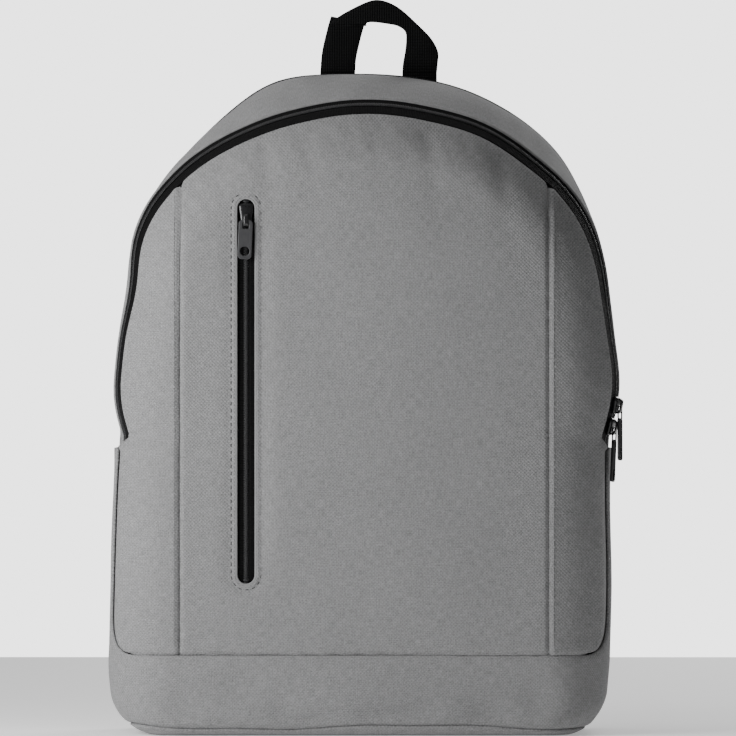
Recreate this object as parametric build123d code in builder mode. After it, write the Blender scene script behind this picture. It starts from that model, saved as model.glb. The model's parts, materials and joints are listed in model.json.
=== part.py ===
"""Soft arch-topped daypack in mm: +X right, +Y towards the wearer's back, +Z up, origin on the floor."""

from build123d import *

import math
import os

os.makedirs("parts", exist_ok=True)

# Driving dimensions of the bag
CLOTH = 2.0                    # wall of every cloth panel
TUB_HALF = 154.0               # half width of the lower bag
FRONT_Y = -72.0                # outer face of the front panel
BACK_Y = 62.0                  # outer face of the padded back
BACK_THICK = 8.0               # whole padded back
TUB_TOP = 181.0                # where the lower side panels meet the zip gusset
TUB_CORNER = 40.0              # upright front corners
TUB_EDGE = 16.0                # rounding round the bottom
BASE_SEAM_Z = 8.0              # bottom panel to base band
BAND_SEAM_Z = 51.0             # base band to front panel
STRIP_X = 116.5                # upright seams of the front panel
FOLD_Z = 217.0                 # level at which the front folds down
GAP = 0.3                      # clearance between bodies along the fold and the zip

# Main zip
ZIP_R = 160.0                  # radius of the arch, along its coil
ZIP_Y = -38.0                  # depth of the coil
ZIP_Z = 239.5                  # height of the arch's centre
ZIP_LEAN = 24.0                # how far the zip's face leans forward, in degrees
ZIP_END = 21.0                 # the zip runs this many degrees below the arch's centre
TAPE_FRONT = 8.0               # visible width of the front tape
TAPE_REAR = 6.4                # visible width of the rear tape
TAPE_THICK = 0.8
COIL_WIDE = 0.95               # one side of the coil
COIL_HIGH = 1.4

# Panels along the zip
DISH_R = 157.0                 # rim of the front panel, at the front tape
DISH_Y = -45.35
DISH_ROUND = 27.5              # rounding from the rim to the flat front
GUSSET_R = 163.2               # front edge of the zip gusset
GUSSET_Y = -31.8
SHOULDER = (149.5, 311.0)      # the back's outline, one side
MIDWAY = (127.5, 355.0)
TURN = (97.0, 392.0)
BACK_TOP = 420.0

# Pocket
POCKET_X = -75.2               # middle of the pocket zip
POCKET_LOW = 95.5
POCKET_HIGH = 339.0
WINDOW_WIDE = 12.0
POCKET_TAPE = 18.0             # both tapes together
POCKET_HALF = 96.0             # half width of the pocket bag
POCKET_FLOOR = 62.0
POCKET_CEILING = 343.0
POCKET_BACK_Y = -61.0          # rear face of the pocket bag
LINING = 1.0
FLAT_R = 129.0                 # the front is flat within this radius of the arch's centre

# Sliders and their pulls
SLIDER_LONG = 11.0
SLIDER_WIDE = 9.0
SLIDER_HIGH = 2.9
BRIDGE_LONG = 5.0
BRIDGE_WIDE = 2.6
BRIDGE_TOP = 5.9
PIVOT_OUT = 4.3                # pivots stand this far out of the tape
PIVOT_HOLE = 1.0
WIRE = 1.0
BAIL_LONG = 8.4
BAIL_WIDE = 6.8
PULL_LONG = 26.0
PULL_WIDE = 5.6
PULL_THICK = 1.4
UPPER_ANGLE = -11.2            # where the two main sliders rest, on the arch
LOWER_ANGLE = -16.1
UPPER_REST = 2.0               # the upper pull leans out this much, over the lower slider
POCKET_SLIDER_Z = 324.6        # its pivot
POCKET_SLIDER_LONG = 15.2
POCKET_SLIDER_NOSE = 3.4       # the body's middle sits this far above its pivot
POCKET_PULL_WIDE = 8.4
POCKET_PULL_LONG = 25.5
POCKET_PULL_LEAN = 2.5

# Grab handle
HANDLE_Y = 56.0
HANDLE_Z = 421.6               # its seam, where it hinges
HANDLE_THICK = 2.0
HANDLE_CLEAR = 1.2             # the anchors stop this far below the seam, so the handle can fold flat
ANCHOR_TALL = 9                # how far the sewn-in ends reach below that seam
LEFT_LEG = (-29.8, -7.4)
RIGHT_LEG = (22.9, 45.2)

# Shoulder straps
STRAP_TOP = (48.0, 396.0)      # x and z of the ends, one side
STRAP_FOOT = (130.0, 42.0)
PAD_WIDE = 58.0
PAD_THICK = 9.0
PAD_PATH = [(4, 9.5), (45, 27), (150, 29), (196, 13), (222, 13)]
FOAM_PATH = [(8, 11.2), (45, 27), (150, 29), (196, 13), (218, 13)]
WEBBING_WIDE = 25.0
WEBBING = 1.6

ARCH_AXIS = Axis((0, 0, ZIP_Z), (0, -1, 0))
FAR = 250.0


def save(part, name):
    """Write one finished piece."""
    part.label = name
    export_step(part, f"parts/{name}.step")


def block(x, y, z, mode=Mode.ADD):
    """A box between these limits, in the part being built."""
    with Locations(((x[0] + x[1]) / 2, (y[0] + y[1]) / 2, (z[0] + z[1]) / 2)):
        Box(x[1] - x[0], y[1] - y[0], z[1] - z[0], mode=mode)


def cut_from(shape, x=(-FAR, FAR), y=(-FAR, FAR), z=(-FAR, 2 * FAR)):
    """The stretch of a shape between these limits."""
    with BuildPart() as piece:
        add(shape)
        block(x, y, z, mode=Mode.INTERSECT)
    return piece.part


def one_side(side, near, far=FAR):
    """Limits in x on the left (-1) or the right (+1)."""
    return tuple(sorted((side * near, side * far)))


# ---------------------------------------------------------------- the arch of the main zip

def along(angle):
    """Unit vectors of the arch at an angle: outward from its centre, and up along the zip."""
    a = math.radians(angle)
    return Vector(math.cos(a), 0, math.sin(a)), Vector(-math.sin(a), 0, math.cos(a))


def band_plane(angle):
    """Plane square to the zip: local x runs across it towards the front tape, local y out of its face."""
    outward, upward = along(angle)
    lean = math.radians(ZIP_LEAN)
    across = outward * -math.sin(lean) + Vector(0, -math.cos(lean), 0)
    middle = Vector(0, ZIP_Y, ZIP_Z) + outward * ZIP_R
    return Plane(origin=middle, x_dir=across, z_dir=upward)


def zip_band(across, out):
    """A strip of the zip carried round the whole arch, from its right end to its left end."""
    with BuildPart() as band:
        with BuildSketch(band_plane(-ZIP_END)):
            with Locations(((across[0] + across[1]) / 2, (out[0] + out[1]) / 2)):
                Rectangle(across[1] - across[0], out[1] - out[0])
        revolve(axis=ARCH_AXIS, revolution_arc=180 + 2 * ZIP_END)
    return band.part


# ---------------------------------------------------------------- cloth shells that the panels are cut from

def tub_solid(inset, rear):
    """The lower bag as a solid, with its walls moved in."""
    with BuildPart() as solid:
        with BuildSketch(Plane.XY.offset(inset)):
            with BuildLine():
                half, front = TUB_HALF - inset, FRONT_Y + inset
                corners = [(-half, rear), (-half, front), (half, front), (half, rear)]
                FilletPolyline(*corners, radius=TUB_CORNER - inset)
                Line(corners[-1], corners[0])
            make_face()
        extrude(amount=TUB_TOP - inset)
        bottom_edges = solid.faces().sort_by(Axis.Z)[0].edges()
        rear_edge = bottom_edges.sort_by(Axis.Y)[-1]
        fillet([edge for edge in bottom_edges if edge != rear_edge], radius=TUB_EDGE - inset)
    return solid.part


def dish_solid(inset):
    """The rounded front, as a solid dish turned about the arch's axis, with its walls moved in."""
    with BuildPart() as solid:
        with BuildSketch(Plane(origin=(0, 0, ZIP_Z), x_dir=(1, 0, 0), z_dir=(0, 0, 1))):
            with BuildLine():
                flat = DISH_R - DISH_ROUND
                front = FRONT_Y + inset
                Line((0, front), (flat, front))
                CenterArc((flat, FRONT_Y + DISH_ROUND), DISH_ROUND - inset, -90, 90)
                Line((DISH_R - inset, FRONT_Y + DISH_ROUND), (0, FRONT_Y + DISH_ROUND))
                Line((0, FRONT_Y + DISH_ROUND), (0, front))
            make_face()
        revolve(axis=ARCH_AXIS)
    return solid.part


def arch_section(inset):
    """The gusset's front outline, above the lower side panels."""
    r = GUSSET_R - inset
    low = math.degrees(math.asin((TUB_TOP - ZIP_Z) / r))
    corners = [low, 20, 55, 125, 160, 180 - low]
    with BuildSketch(Plane.XZ.offset(-GUSSET_Y)) as section:
        with BuildLine():
            for a, b in zip(corners, corners[1:]):
                CenterArc((0, ZIP_Z), r, a, b - a)
            Line((r * math.cos(math.radians(180 - low)), TUB_TOP), (r * math.cos(math.radians(low)), TUB_TOP))
        make_face()
    return section.sketch.face()


def back_points(inset):
    """The back's outline on the right: shoulder, midway and turn, moved in."""
    shoulder = (SHOULDER[0] - inset, SHOULDER[1])
    midway = (MIDWAY[0] - inset * 0.77, MIDWAY[1] - inset * 0.64)
    turn = (TURN[0] - inset * 0.6, TURN[1] - inset * 0.8)
    return shoulder, midway, turn


def back_section(inset):
    """The gusset's rear outline, above the lower side panels."""
    shoulder, midway, turn = back_points(inset)
    half = TUB_HALF - inset
    with BuildSketch(Plane.XZ.offset(BACK_THICK - BACK_Y)) as section:
        with BuildLine():
            Line((half, TUB_TOP), shoulder)
            ThreePointArc(shoulder, midway, turn)
            ThreePointArc(turn, (0, BACK_TOP - inset), (-turn[0], turn[1]))
            ThreePointArc((-turn[0], turn[1]), (-midway[0], midway[1]), (-shoulder[0], shoulder[1]))
            Line((-shoulder[0], shoulder[1]), (-half, TUB_TOP))
            Line((-half, TUB_TOP), (half, TUB_TOP))
        make_face()
    return section.sketch.face()


def back_slab(inset, front, rear):
    """A slab with the whole back's outline, moved in."""
    shoulder, midway, turn = back_points(inset)
    half, corner = TUB_HALF - inset, TUB_EDGE - inset / 2
    with BuildPart() as slab:
        with BuildSketch(Plane.XZ.offset(-front)):
            with BuildLine():
                CenterArc((half - corner, inset + corner), corner, -90, 90)
                Line((half, inset + corner), (half, TUB_TOP))
                Line((half, TUB_TOP), shoulder)
                ThreePointArc(shoulder, midway, turn)
                ThreePointArc(turn, (0, BACK_TOP - inset), (-turn[0], turn[1]))
                mirror(about=Plane.YZ)
                Line((half - corner, inset), (corner - half, inset))
            make_face()
        extrude(amount=front - rear)
    return slab.part


with BuildPart() as tub_shell:
    add(tub_solid(0, BACK_Y - BACK_THICK))
    add(tub_solid(CLOTH, BACK_Y), mode=Mode.SUBTRACT)

with BuildPart() as dish_shell:
    add(dish_solid(0))
    add(dish_solid(CLOTH), mode=Mode.SUBTRACT)
    block((-FAR, FAR), (-FAR, DISH_Y), (TUB_TOP, 2 * FAR), mode=Mode.INTERSECT)

# A narrow shelf closes the step between the lower bag and the rounded front
with BuildPart() as shelf:
    add(cut_from(tub_solid(0, BACK_Y - BACK_THICK), y=(-FAR, GUSSET_Y), z=(TUB_TOP - CLOTH, TUB_TOP)))
    add(dish_solid(CLOTH), mode=Mode.SUBTRACT)
    block((CLOTH - STRIP_X, STRIP_X - CLOTH), (-FAR, FAR), (0, 2 * FAR), mode=Mode.SUBTRACT)
    block((-140, 140), (DISH_Y - CLOTH, FAR), (0, 2 * FAR), mode=Mode.SUBTRACT)

# ---------------------------------------------------------------- back, gusset, sides and base

with BuildPart() as back_panel:
    add(back_slab(0, BACK_Y - BACK_THICK, BACK_Y))
    add(back_slab(6, BACK_Y - BACK_THICK + 1.2, BACK_Y - 1.2), mode=Mode.SUBTRACT)
save(back_panel.part, "back_panel")

with BuildPart() as back_foam:
    add(back_slab(6, BACK_Y - BACK_THICK + 1.2, BACK_Y - 1.2))
save(back_foam.part, "back_foam")

with BuildPart() as top_gusset:
    loft([arch_section(0), back_section(0)], ruled=True)
    loft([arch_section(CLOTH), back_section(CLOTH)], ruled=True, mode=Mode.SUBTRACT)
save(top_gusset.part, "top_gusset")

save(cut_from(tub_shell.part, z=(0, BASE_SEAM_Z)), "bottom_panel")
save(cut_from(tub_shell.part, z=(BASE_SEAM_Z, BAND_SEAM_Z)), "base_band")

for side, name in ((-1, "left"), (1, "right")):
    wall = cut_from(tub_shell.part, one_side(side, STRIP_X), (GUSSET_Y, FAR), (BAND_SEAM_Z, TUB_TOP))
    save(wall, f"{name}_side_panel")

# ---------------------------------------------------------------- front, below and above the fold

for side, name in ((-1, "left"), (1, "right")):
    beside = one_side(side, STRIP_X)
    with BuildPart() as front_strip:
        add(cut_from(tub_shell.part, beside, (-FAR, GUSSET_Y), (BAND_SEAM_Z, TUB_TOP)))
        add(cut_from(shelf.part, beside))
        add(cut_from(dish_shell.part, beside, z=(0, FOLD_Z)))
    save(front_strip.part, f"{name}_front_strip")
    save(cut_from(dish_shell.part, beside, z=(FOLD_Z + GAP, 2 * FAR)), f"{name}_flap_strip")


def pocket_window(panel):
    """A front panel with the pocket zip's long rounded window cut through it."""
    with BuildPart() as windowed:
        add(panel)
        with BuildSketch(Plane.XZ.offset(-FRONT_Y)):
            with Locations((POCKET_X, (POCKET_LOW + POCKET_HIGH) / 2)):
                SlotOverall(POCKET_HIGH - POCKET_LOW, WINDOW_WIDE, rotation=90)
        extrude(amount=CLOTH + 1, both=True, mode=Mode.SUBTRACT)
    return windowed.part


between = (-STRIP_X, STRIP_X)
with BuildPart() as front_panel:
    add(cut_from(tub_shell.part, between, (-FAR, FRONT_Y + 5), (BAND_SEAM_Z, TUB_TOP)))
    add(cut_from(dish_shell.part, between, z=(0, FOLD_Z)))
save(pocket_window(front_panel.part), "front_panel")
save(pocket_window(cut_from(dish_shell.part, between, z=(FOLD_Z + GAP, 2 * FAR))), "flap_panel")

# ---------------------------------------------------------------- main zip

front_tape = zip_band((GAP / 2, TAPE_FRONT), (-TAPE_THICK, 0))
front_coil = zip_band((GAP / 2, GAP / 2 + COIL_WIDE), (0, COIL_HIGH))
rear_tape = zip_band((-TAPE_REAR, -GAP / 2), (-TAPE_THICK, 0))
rear_coil = zip_band((-GAP / 2 - COIL_WIDE, -GAP / 2), (0, COIL_HIGH))
save(rear_tape, "main_zip_rear_tape")
save(rear_coil, "main_zip_rear_coil")
save(cut_from(front_tape, z=(FOLD_Z + GAP, 2 * FAR)), "main_zip_front_tape")
save(cut_from(front_coil, z=(FOLD_Z + GAP, 2 * FAR)), "main_zip_front_coil")
save(cut_from(front_tape, z=(0, FOLD_Z)), "main_zip_tape_ends")
save(cut_from(front_coil, z=(0, FOLD_Z)), "main_zip_coil_ends")

with BuildPart() as end_stops:
    for angle in (-ZIP_END + 0.4, 180 + ZIP_END - 0.4):
        with BuildSketch(band_plane(angle)):
            with Locations((0, COIL_HIGH + 0.5)):
                Rectangle(4.4, 1.0)
        extrude(amount=0.8, both=True)
save(end_stops.part, "main_zip_end_stops")

# ---------------------------------------------------------------- pocket zip and pocket bag

TAPE_FRONT_Y = FRONT_Y + CLOTH


def pocket_strip(wide, y, z):
    """A straight strip of the pocket zip that stays where the front is flat."""
    with BuildPart() as strip:
        block((POCKET_X - wide / 2, POCKET_X + wide / 2), y, z)
        with BuildSketch(Plane.XZ):
            with Locations((0, ZIP_Z)):
                Circle(FLAT_R)
        extrude(amount=FAR, both=True, mode=Mode.INTERSECT)
    return strip.part


def bag_outline(inset):
    """The pocket bag's outline, moved in: straight below the arch's centre, round with the front above."""
    with BuildSketch(Plane.XZ.offset(-TAPE_FRONT_Y)) as outline:
        with Locations((0, ZIP_Z)):
            Circle(FLAT_R - inset)
        with Locations((0, (POCKET_FLOOR + inset + ZIP_Z) / 2)):
            Rectangle(2 * (POCKET_HALF - inset), ZIP_Z - POCKET_FLOOR - inset)
        with Locations((0, (POCKET_FLOOR + POCKET_CEILING) / 2)):
            tall = POCKET_CEILING - POCKET_FLOOR - 2 * inset
            Rectangle(2 * (POCKET_HALF - inset), tall, mode=Mode.INTERSECT)
    return outline.sketch.face()


with BuildPart() as pocket_bag:
    extrude(bag_outline(0), amount=POCKET_BACK_Y - TAPE_FRONT_Y, dir=(0, 1, 0))
    inner_depth = POCKET_BACK_Y - LINING - TAPE_FRONT_Y
    extrude(bag_outline(LINING), amount=inner_depth, dir=(0, 1, 0), mode=Mode.SUBTRACT)
    block((-FAR, FAR), (TAPE_FRONT_Y, FAR), (0, FAR * 2), mode=Mode.INTERSECT)
    add(dish_shell.part, mode=Mode.SUBTRACT)

BELOW, ABOVE = (0, FOLD_Z), (FOLD_Z + GAP, 2 * FAR)
for limits, prefix in ((BELOW, "pocket"), (ABOVE, "flap_pocket")):
    low = max(limits[0], POCKET_LOW - 5)
    high = min(limits[1], POCKET_HIGH + 5)
    tapes = pocket_strip(POCKET_TAPE, (TAPE_FRONT_Y, TAPE_FRONT_Y + TAPE_THICK), (low, high))
    save(tapes, f"{prefix}_zip_tapes")
    low = max(limits[0], POCKET_LOW + 1)
    high = min(limits[1], POCKET_HIGH - 1)
    coil_depth = (TAPE_FRONT_Y - COIL_HIGH, TAPE_FRONT_Y)
    save(pocket_strip(2 * COIL_WIDE, coil_depth, (low, high)), f"{prefix}_zip_coil")
    with BuildPart() as bag_piece:
        add(cut_from(pocket_bag.part, z=limits))
        add(tapes, mode=Mode.SUBTRACT)
    save(bag_piece.part, f"{prefix}_bag")

# ---------------------------------------------------------------- sliders, bails and pulls
# A slider's plane has local x across its zip, local y out of the tape and local z up along the zip.


def pivot_plane(plane, hang):
    """Plane of a hanging bail or pull: x across, y down along it, origin on the slider's pivot."""
    h = math.radians(hang)
    facing = plane.y_dir * math.cos(h) + plane.z_dir * math.sin(h)
    return Plane(origin=plane.from_local_coords((0, PIVOT_OUT, 0)), x_dir=plane.x_dir, z_dir=facing)


def slider(plane, length, nose=0):
    """A slider's outer body: rounded, hollow over the coil, with a bridge that has a hole for its pivot."""
    with BuildPart() as body:
        with BuildSketch(Plane(plane.from_local_coords((0, GAP, 0)), x_dir=plane.x_dir, z_dir=plane.y_dir)):
            with Locations((0, -nose)):
                RectangleRounded(SLIDER_WIDE, length, 3.4)
        extrude(amount=SLIDER_HIGH)
        fillet(body.faces().sort_by(Axis(plane.origin, plane.y_dir))[-1].edges(), radius=1.0)
        with BuildSketch(plane):
            with Locations((0, (SLIDER_HIGH + BRIDGE_TOP) / 2)):
                Rectangle(BRIDGE_WIDE, BRIDGE_TOP - SLIDER_HIGH)
        extrude(amount=BRIDGE_LONG / 2, both=True)
        with BuildSketch(plane):
            with Locations((0, (COIL_HIGH + GAP) / 2)):
                Rectangle(2 * (COIL_WIDE + 2 * GAP), COIL_HIGH + GAP)
        extrude(amount=length, both=True, mode=Mode.SUBTRACT)
        with BuildSketch(Plane(pivot_plane(plane, 0).origin, x_dir=plane.y_dir, z_dir=plane.x_dir)):
            Circle(PIVOT_HOLE)
        extrude(amount=SLIDER_WIDE, both=True, mode=Mode.SUBTRACT)
    return body.part


def bail(plane, hang):
    """A wire loop through the slider's bridge."""
    with BuildPart() as loop:
        with BuildSketch(pivot_plane(plane, hang)):
            with Locations((0, BAIL_LONG / 2)):
                RectangleRounded(BAIL_WIDE, BAIL_LONG + WIRE, 1.4)
                Rectangle(BAIL_WIDE - 2 * WIRE, BAIL_LONG - WIRE, mode=Mode.SUBTRACT)
        extrude(amount=WIRE / 2, both=True)
    return loop.part


def long_pull(plane, hang):
    """A long flat pull with a knuckle round the bail's lower bar and a slot near its end."""
    hung = pivot_plane(plane, hang)
    hung.origin = hung.from_local_coords((0, BAIL_LONG, 0))
    knuckle_wide = BAIL_WIDE - 2 * WIRE - 2 * GAP
    with BuildPart() as pull:
        with BuildSketch(hung):
            with Locations((0, 1.4)):
                Rectangle(knuckle_wide, 2.8)
            with Locations((0, 1.4 + PULL_LONG / 2)):
                RectangleRounded(PULL_WIDE, PULL_LONG - 0.4, 1.6)
            with Locations((0, PULL_LONG - 4.6)):
                SlotOverall(7, 2.4, rotation=90, mode=Mode.SUBTRACT)
        extrude(amount=PULL_THICK / 2, both=True)
        with BuildSketch(Plane(hung.origin, x_dir=hung.z_dir, z_dir=hung.x_dir)):
            Circle(PIVOT_HOLE + 0.6)
        extrude(amount=knuckle_wide / 2, both=True)
        with BuildSketch(Plane(hung.origin, x_dir=hung.z_dir, z_dir=hung.x_dir)):
            Circle(PIVOT_HOLE)
        extrude(amount=PULL_WIDE, both=True, mode=Mode.SUBTRACT)
    return pull.part


for angle, name, rest in ((UPPER_ANGLE, "upper", UPPER_REST), (LOWER_ANGLE, "lower", 0)):
    ride = band_plane(angle)
    a = math.radians(angle)
    hang = rest + math.degrees(math.atan2(-math.sin(a) * math.cos(math.radians(ZIP_LEAN)), math.cos(a)))
    save(slider(ride, SLIDER_LONG), f"{name}_slider")
    save(bail(ride, hang), f"{name}_slider_bail")
    save(long_pull(ride, hang), f"{name}_slider_pull")

pocket_ride = Plane(origin=(POCKET_X, TAPE_FRONT_Y, POCKET_SLIDER_Z), x_dir=(-1, 0, 0), z_dir=(0, 0, 1))
save(slider(pocket_ride, POCKET_SLIDER_LONG, POCKET_SLIDER_NOSE), "pocket_slider")

with BuildPart() as pocket_pull:
    with BuildSketch(pivot_plane(pocket_ride, 0)):
        with Locations((0, POCKET_PULL_LONG / 2 - 0.7)):
            RectangleRounded(POCKET_PULL_WIDE, POCKET_PULL_LONG, 2.2)
        with Locations((0, 2.9)):
            Rectangle(4.4, 4.4, mode=Mode.SUBTRACT)
        with Locations((0, POCKET_PULL_LONG - 5.4)):
            Circle(3.0, mode=Mode.SUBTRACT)
    extrude(amount=PULL_THICK / 2, both=True)
pocket_pivot = Axis(tuple(pivot_plane(pocket_ride, 0).origin), (0, 1, 0))
save(pocket_pull.part.rotate(pocket_pivot, POCKET_PULL_LEAN), "pocket_slider_pull")

STOP_LONG = 1.6
STOP_HALF = 1.8
STOP_THICK = 0.8
for z, name in ((POCKET_LOW + 3, "pocket_zip_lower_stop"), (POCKET_HIGH - 2, "pocket_zip_upper_stop")):
    with BuildPart() as stop:
        top = TAPE_FRONT_Y - COIL_HIGH
        across = (POCKET_X - STOP_HALF, POCKET_X + STOP_HALF)
        block(across, (top - STOP_THICK, top), (z - STOP_LONG / 2, z + STOP_LONG / 2))
    save(stop.part, name)

# ---------------------------------------------------------------- grab handle

with BuildPart() as grab_handle:
    with BuildSketch(Plane.XZ.offset(-HANDLE_Y)):
        with BuildLine():
            Polyline(
                (LEFT_LEG[0], HANDLE_Z), (-23.7, 448.3), (-9.5, 457.8), (3.2, 464.2), (12.0, 463.6),
                (21.6, 459.0), (32.4, 449.6), (46.4, 434.7), (RIGHT_LEG[1], HANDLE_Z),
                (RIGHT_LEG[0], HANDLE_Z),
                (25.0, 447.0), (-0.4, 449.8), (LEFT_LEG[1], HANDLE_Z), close=True,
            )
        make_face()
    extrude(amount=HANDLE_THICK / 2, both=True)
save(grab_handle.part, "grab_handle")

with BuildPart() as handle_anchors:
    for leg in (LEFT_LEG, RIGHT_LEG):
        depth = (HANDLE_Y - HANDLE_THICK / 2, HANDLE_Y + HANDLE_THICK / 2)
        block(leg, depth, (HANDLE_Z - ANCHOR_TALL, HANDLE_Z - HANDLE_CLEAR))
    add(back_slab(0, BACK_Y - BACK_THICK, BACK_Y), mode=Mode.SUBTRACT)
save(handle_anchors.part, "handle_anchors")

# ---------------------------------------------------------------- shoulder straps
# A strap's plane has local x down its chord from the top seam to the foot, and local y off the back.


def band_along(plane, path, thick, wide, radius):
    """A flat strip along a path of straight runs and round bends, in a strap's plane."""
    with BuildPart() as strip:
        with BuildSketch(plane):
            with BuildLine():
                FilletPolyline(*path, radius=radius)
            trace(line_width=thick)
        extrude(amount=wide / 2, both=True)
    return strip.part


for side, name in ((-1, "left"), (1, "right")):
    top = Vector(side * STRAP_TOP[0], BACK_Y, STRAP_TOP[1])
    foot = Vector(side * STRAP_FOOT[0], BACK_Y, STRAP_FOOT[1])
    down = (foot - top).normalized()
    chord = Plane(origin=top, x_dir=down, z_dir=down.cross(Vector(0, 1, 0)))
    foam = band_along(chord, FOAM_PATH, PAD_THICK - 3, PAD_WIDE - 6, 28)
    save(foam, f"{name}_strap_foam")
    with BuildPart() as pad:
        add(band_along(chord, PAD_PATH, PAD_THICK, PAD_WIDE, 30))
        add(foam, mode=Mode.SUBTRACT)
    save(pad.part, f"{name}_strap_pad")
    loop_path = [(222, 10.2), (233, 10.2), (233, 15.8), (222, 15.8)]
    save(band_along(chord, loop_path, WEBBING, WEBBING_WIDE, 2.6), f"{name}_lock_loop")
    tail_path = [(362, 5.0), (238, 10.2), (238, 15.8), (312, 14.0)]
    save(band_along(chord, tail_path, WEBBING, WEBBING_WIDE, 2.6), f"{name}_strap_webbing")
    with BuildPart() as ladder_lock:
        with BuildSketch(chord):
            for u in (228, 242.5):
                with Locations((u, 13)):
                    Rectangle(4, 2.8)
        extrude(amount=16.5, both=True)
        for rail in (-14.8, 14.8):
            with BuildSketch(chord.offset(rail)):
                with Locations((236, 13)):
                    Rectangle(24, 4)
            extrude(amount=1.6, both=True)
    save(ladder_lock.part, f"{name}_ladder_lock")
    with BuildPart() as base_tab:
        with BuildSketch(Plane.XZ.offset(-BACK_Y)):
            with BuildLine():
                Polyline((side * 152, 20), (side * 152, 66), (side * 116, 48), (side * 122, 36), close=True)
            make_face()
        extrude(amount=-WEBBING)
    save(base_tab.part, f"{name}_base_tab")

with BuildPart() as strap_yoke:
    block((-79, 79), (BACK_Y, BACK_Y + 1.2), (384, 399))
save(strap_yoke.part, "strap_yoke")
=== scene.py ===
"""Looks of the arch-topped daypack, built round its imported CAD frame. Shapes are worked out in mm."""

import json
import math

import bmesh
import bpy
import numpy as np
from mathutils import Matrix, Vector, noise


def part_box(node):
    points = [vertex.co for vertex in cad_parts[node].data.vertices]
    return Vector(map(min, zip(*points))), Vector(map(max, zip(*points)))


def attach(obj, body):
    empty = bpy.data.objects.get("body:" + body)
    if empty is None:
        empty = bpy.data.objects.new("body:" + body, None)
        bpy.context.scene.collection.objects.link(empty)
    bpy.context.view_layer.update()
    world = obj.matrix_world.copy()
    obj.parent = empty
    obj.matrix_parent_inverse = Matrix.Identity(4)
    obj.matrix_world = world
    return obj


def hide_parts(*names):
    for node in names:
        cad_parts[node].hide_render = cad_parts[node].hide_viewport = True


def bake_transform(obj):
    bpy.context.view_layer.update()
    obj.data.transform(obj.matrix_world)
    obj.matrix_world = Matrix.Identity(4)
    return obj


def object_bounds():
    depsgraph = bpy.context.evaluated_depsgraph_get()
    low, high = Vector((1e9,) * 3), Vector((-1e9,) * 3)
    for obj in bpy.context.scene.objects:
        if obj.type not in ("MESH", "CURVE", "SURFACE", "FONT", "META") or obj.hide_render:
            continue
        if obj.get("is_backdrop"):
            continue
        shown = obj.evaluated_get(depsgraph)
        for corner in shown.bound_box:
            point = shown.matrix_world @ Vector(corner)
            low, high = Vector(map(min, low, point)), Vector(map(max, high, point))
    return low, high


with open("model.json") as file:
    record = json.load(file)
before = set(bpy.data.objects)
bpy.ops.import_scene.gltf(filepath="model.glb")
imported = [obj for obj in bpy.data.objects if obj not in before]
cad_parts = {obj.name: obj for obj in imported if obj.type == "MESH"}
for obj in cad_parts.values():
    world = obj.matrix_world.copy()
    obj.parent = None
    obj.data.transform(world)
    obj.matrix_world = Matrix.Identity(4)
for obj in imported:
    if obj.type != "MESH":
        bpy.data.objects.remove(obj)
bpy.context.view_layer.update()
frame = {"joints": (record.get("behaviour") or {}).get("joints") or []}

MM = 0.001
joints = {joint["name"]: joint for joint in frame["joints"]}


def at_joint(name):
    """Where a joint sits, in mm."""
    return np.array(joints[name]["pos_m"]) / MM


def node_box(name):
    """The low and high corners of a CAD node, in mm."""
    low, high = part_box(name)
    return np.array(low) / MM, np.array(high) / MM


# ---------------------------------------------------------------- driving sizes

_, ZIP_Y, ZIP_Z = at_joint("upper_slider_travel")
FRONT_Y = node_box("front_panel")[0][1]
PANEL_LOW = node_box("front_panel")[0][2]
WINDOW_X = (node_box("pocket_zip_tapes")[0][0] + node_box("pocket_zip_tapes")[1][0]) / 2
BACK_Y = 62.0
BACK_FRONT = 54.0

ZIP_R = 160.0
TAPE_FRONT = 11.5
TAPE_REAR = 6.4
LEAN_SIDE, LEAN_TOP = 17.0, 37.0
ARCH_LOW, ARCH_HIGH = -18.9, 198.1    # the zip's arch, in degrees up from the right
TAIL_RIGHT, TAIL_LEFT = 2.6, 3.0      # degrees' worth of straight zip below each end
CLOTH = 1.6
SEAM_LEFT, SEAM_RIGHT = -117.0, 115.5
CORNER = 40.0
STRIP_ROUND = 31.0
JOIN_Z = 181.0                        # the zip's own gusset ends here
BASE_Z = 5.0
WINDOW_LOW, WINDOW_HIGH, WINDOW_HALF = 95.5, 339.0, 6.0
RIM_TURN, SIDE_TURN = 60.0, 84.0      # how far the front has turned where it ends, in degrees

# how far a soft arch strays from a true one: degrees round from the right, and mm
ZIP_STRAY = [(-17, 0), (-7, 0), (3, -4.5), (12, -4.5), (22, 0), (30, 3.5), (38, 4.6), (50, 2.4), (62, 2.6),
             (75, -0.6), (90, -0.8), (104, -1.2), (118, 1.0), (132, 4.8), (145, 6.0), (154, 2.6), (161, -4.8),
             (167, -7.0), (173, -5.8), (183, -3.5), (189, 0), (197, 0)]
BACK_ARCH = [(-16, 157.5), (0, 158), (13, 157.4), (22, 162), (30, 167), (39, 173), (46, 178.2), (56, 180.4),
             (70, 181.3), (85, 179.8), (95, 180.2), (103, 183.4), (108, 185.4), (113, 183), (120, 178.2),
             (128, 174), (139, 169.4), (150, 167.2), (158, 160.6), (167, 155.8), (180, 157.2), (196, 160)]
RIGHT_HALF = [(0, 151.5), (30, 152), (60, 153), (100, 153.7), (150, 152.6), (184, 152.9)]
LEFT_HALF = [(0, 158.5), (30, 161.2), (60, 161), (100, 160), (150, 158.4), (172, 157.2), (184, 156.4)]

FINE = 1.0


def smooth(t):
    """0 below 0, 1 above 1, and an even ramp between."""
    t = np.clip(t, 0, 1)
    return t * t * (3 - 2 * t)


def mix(a, b, t):
    return a + (b - a) * t


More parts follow.
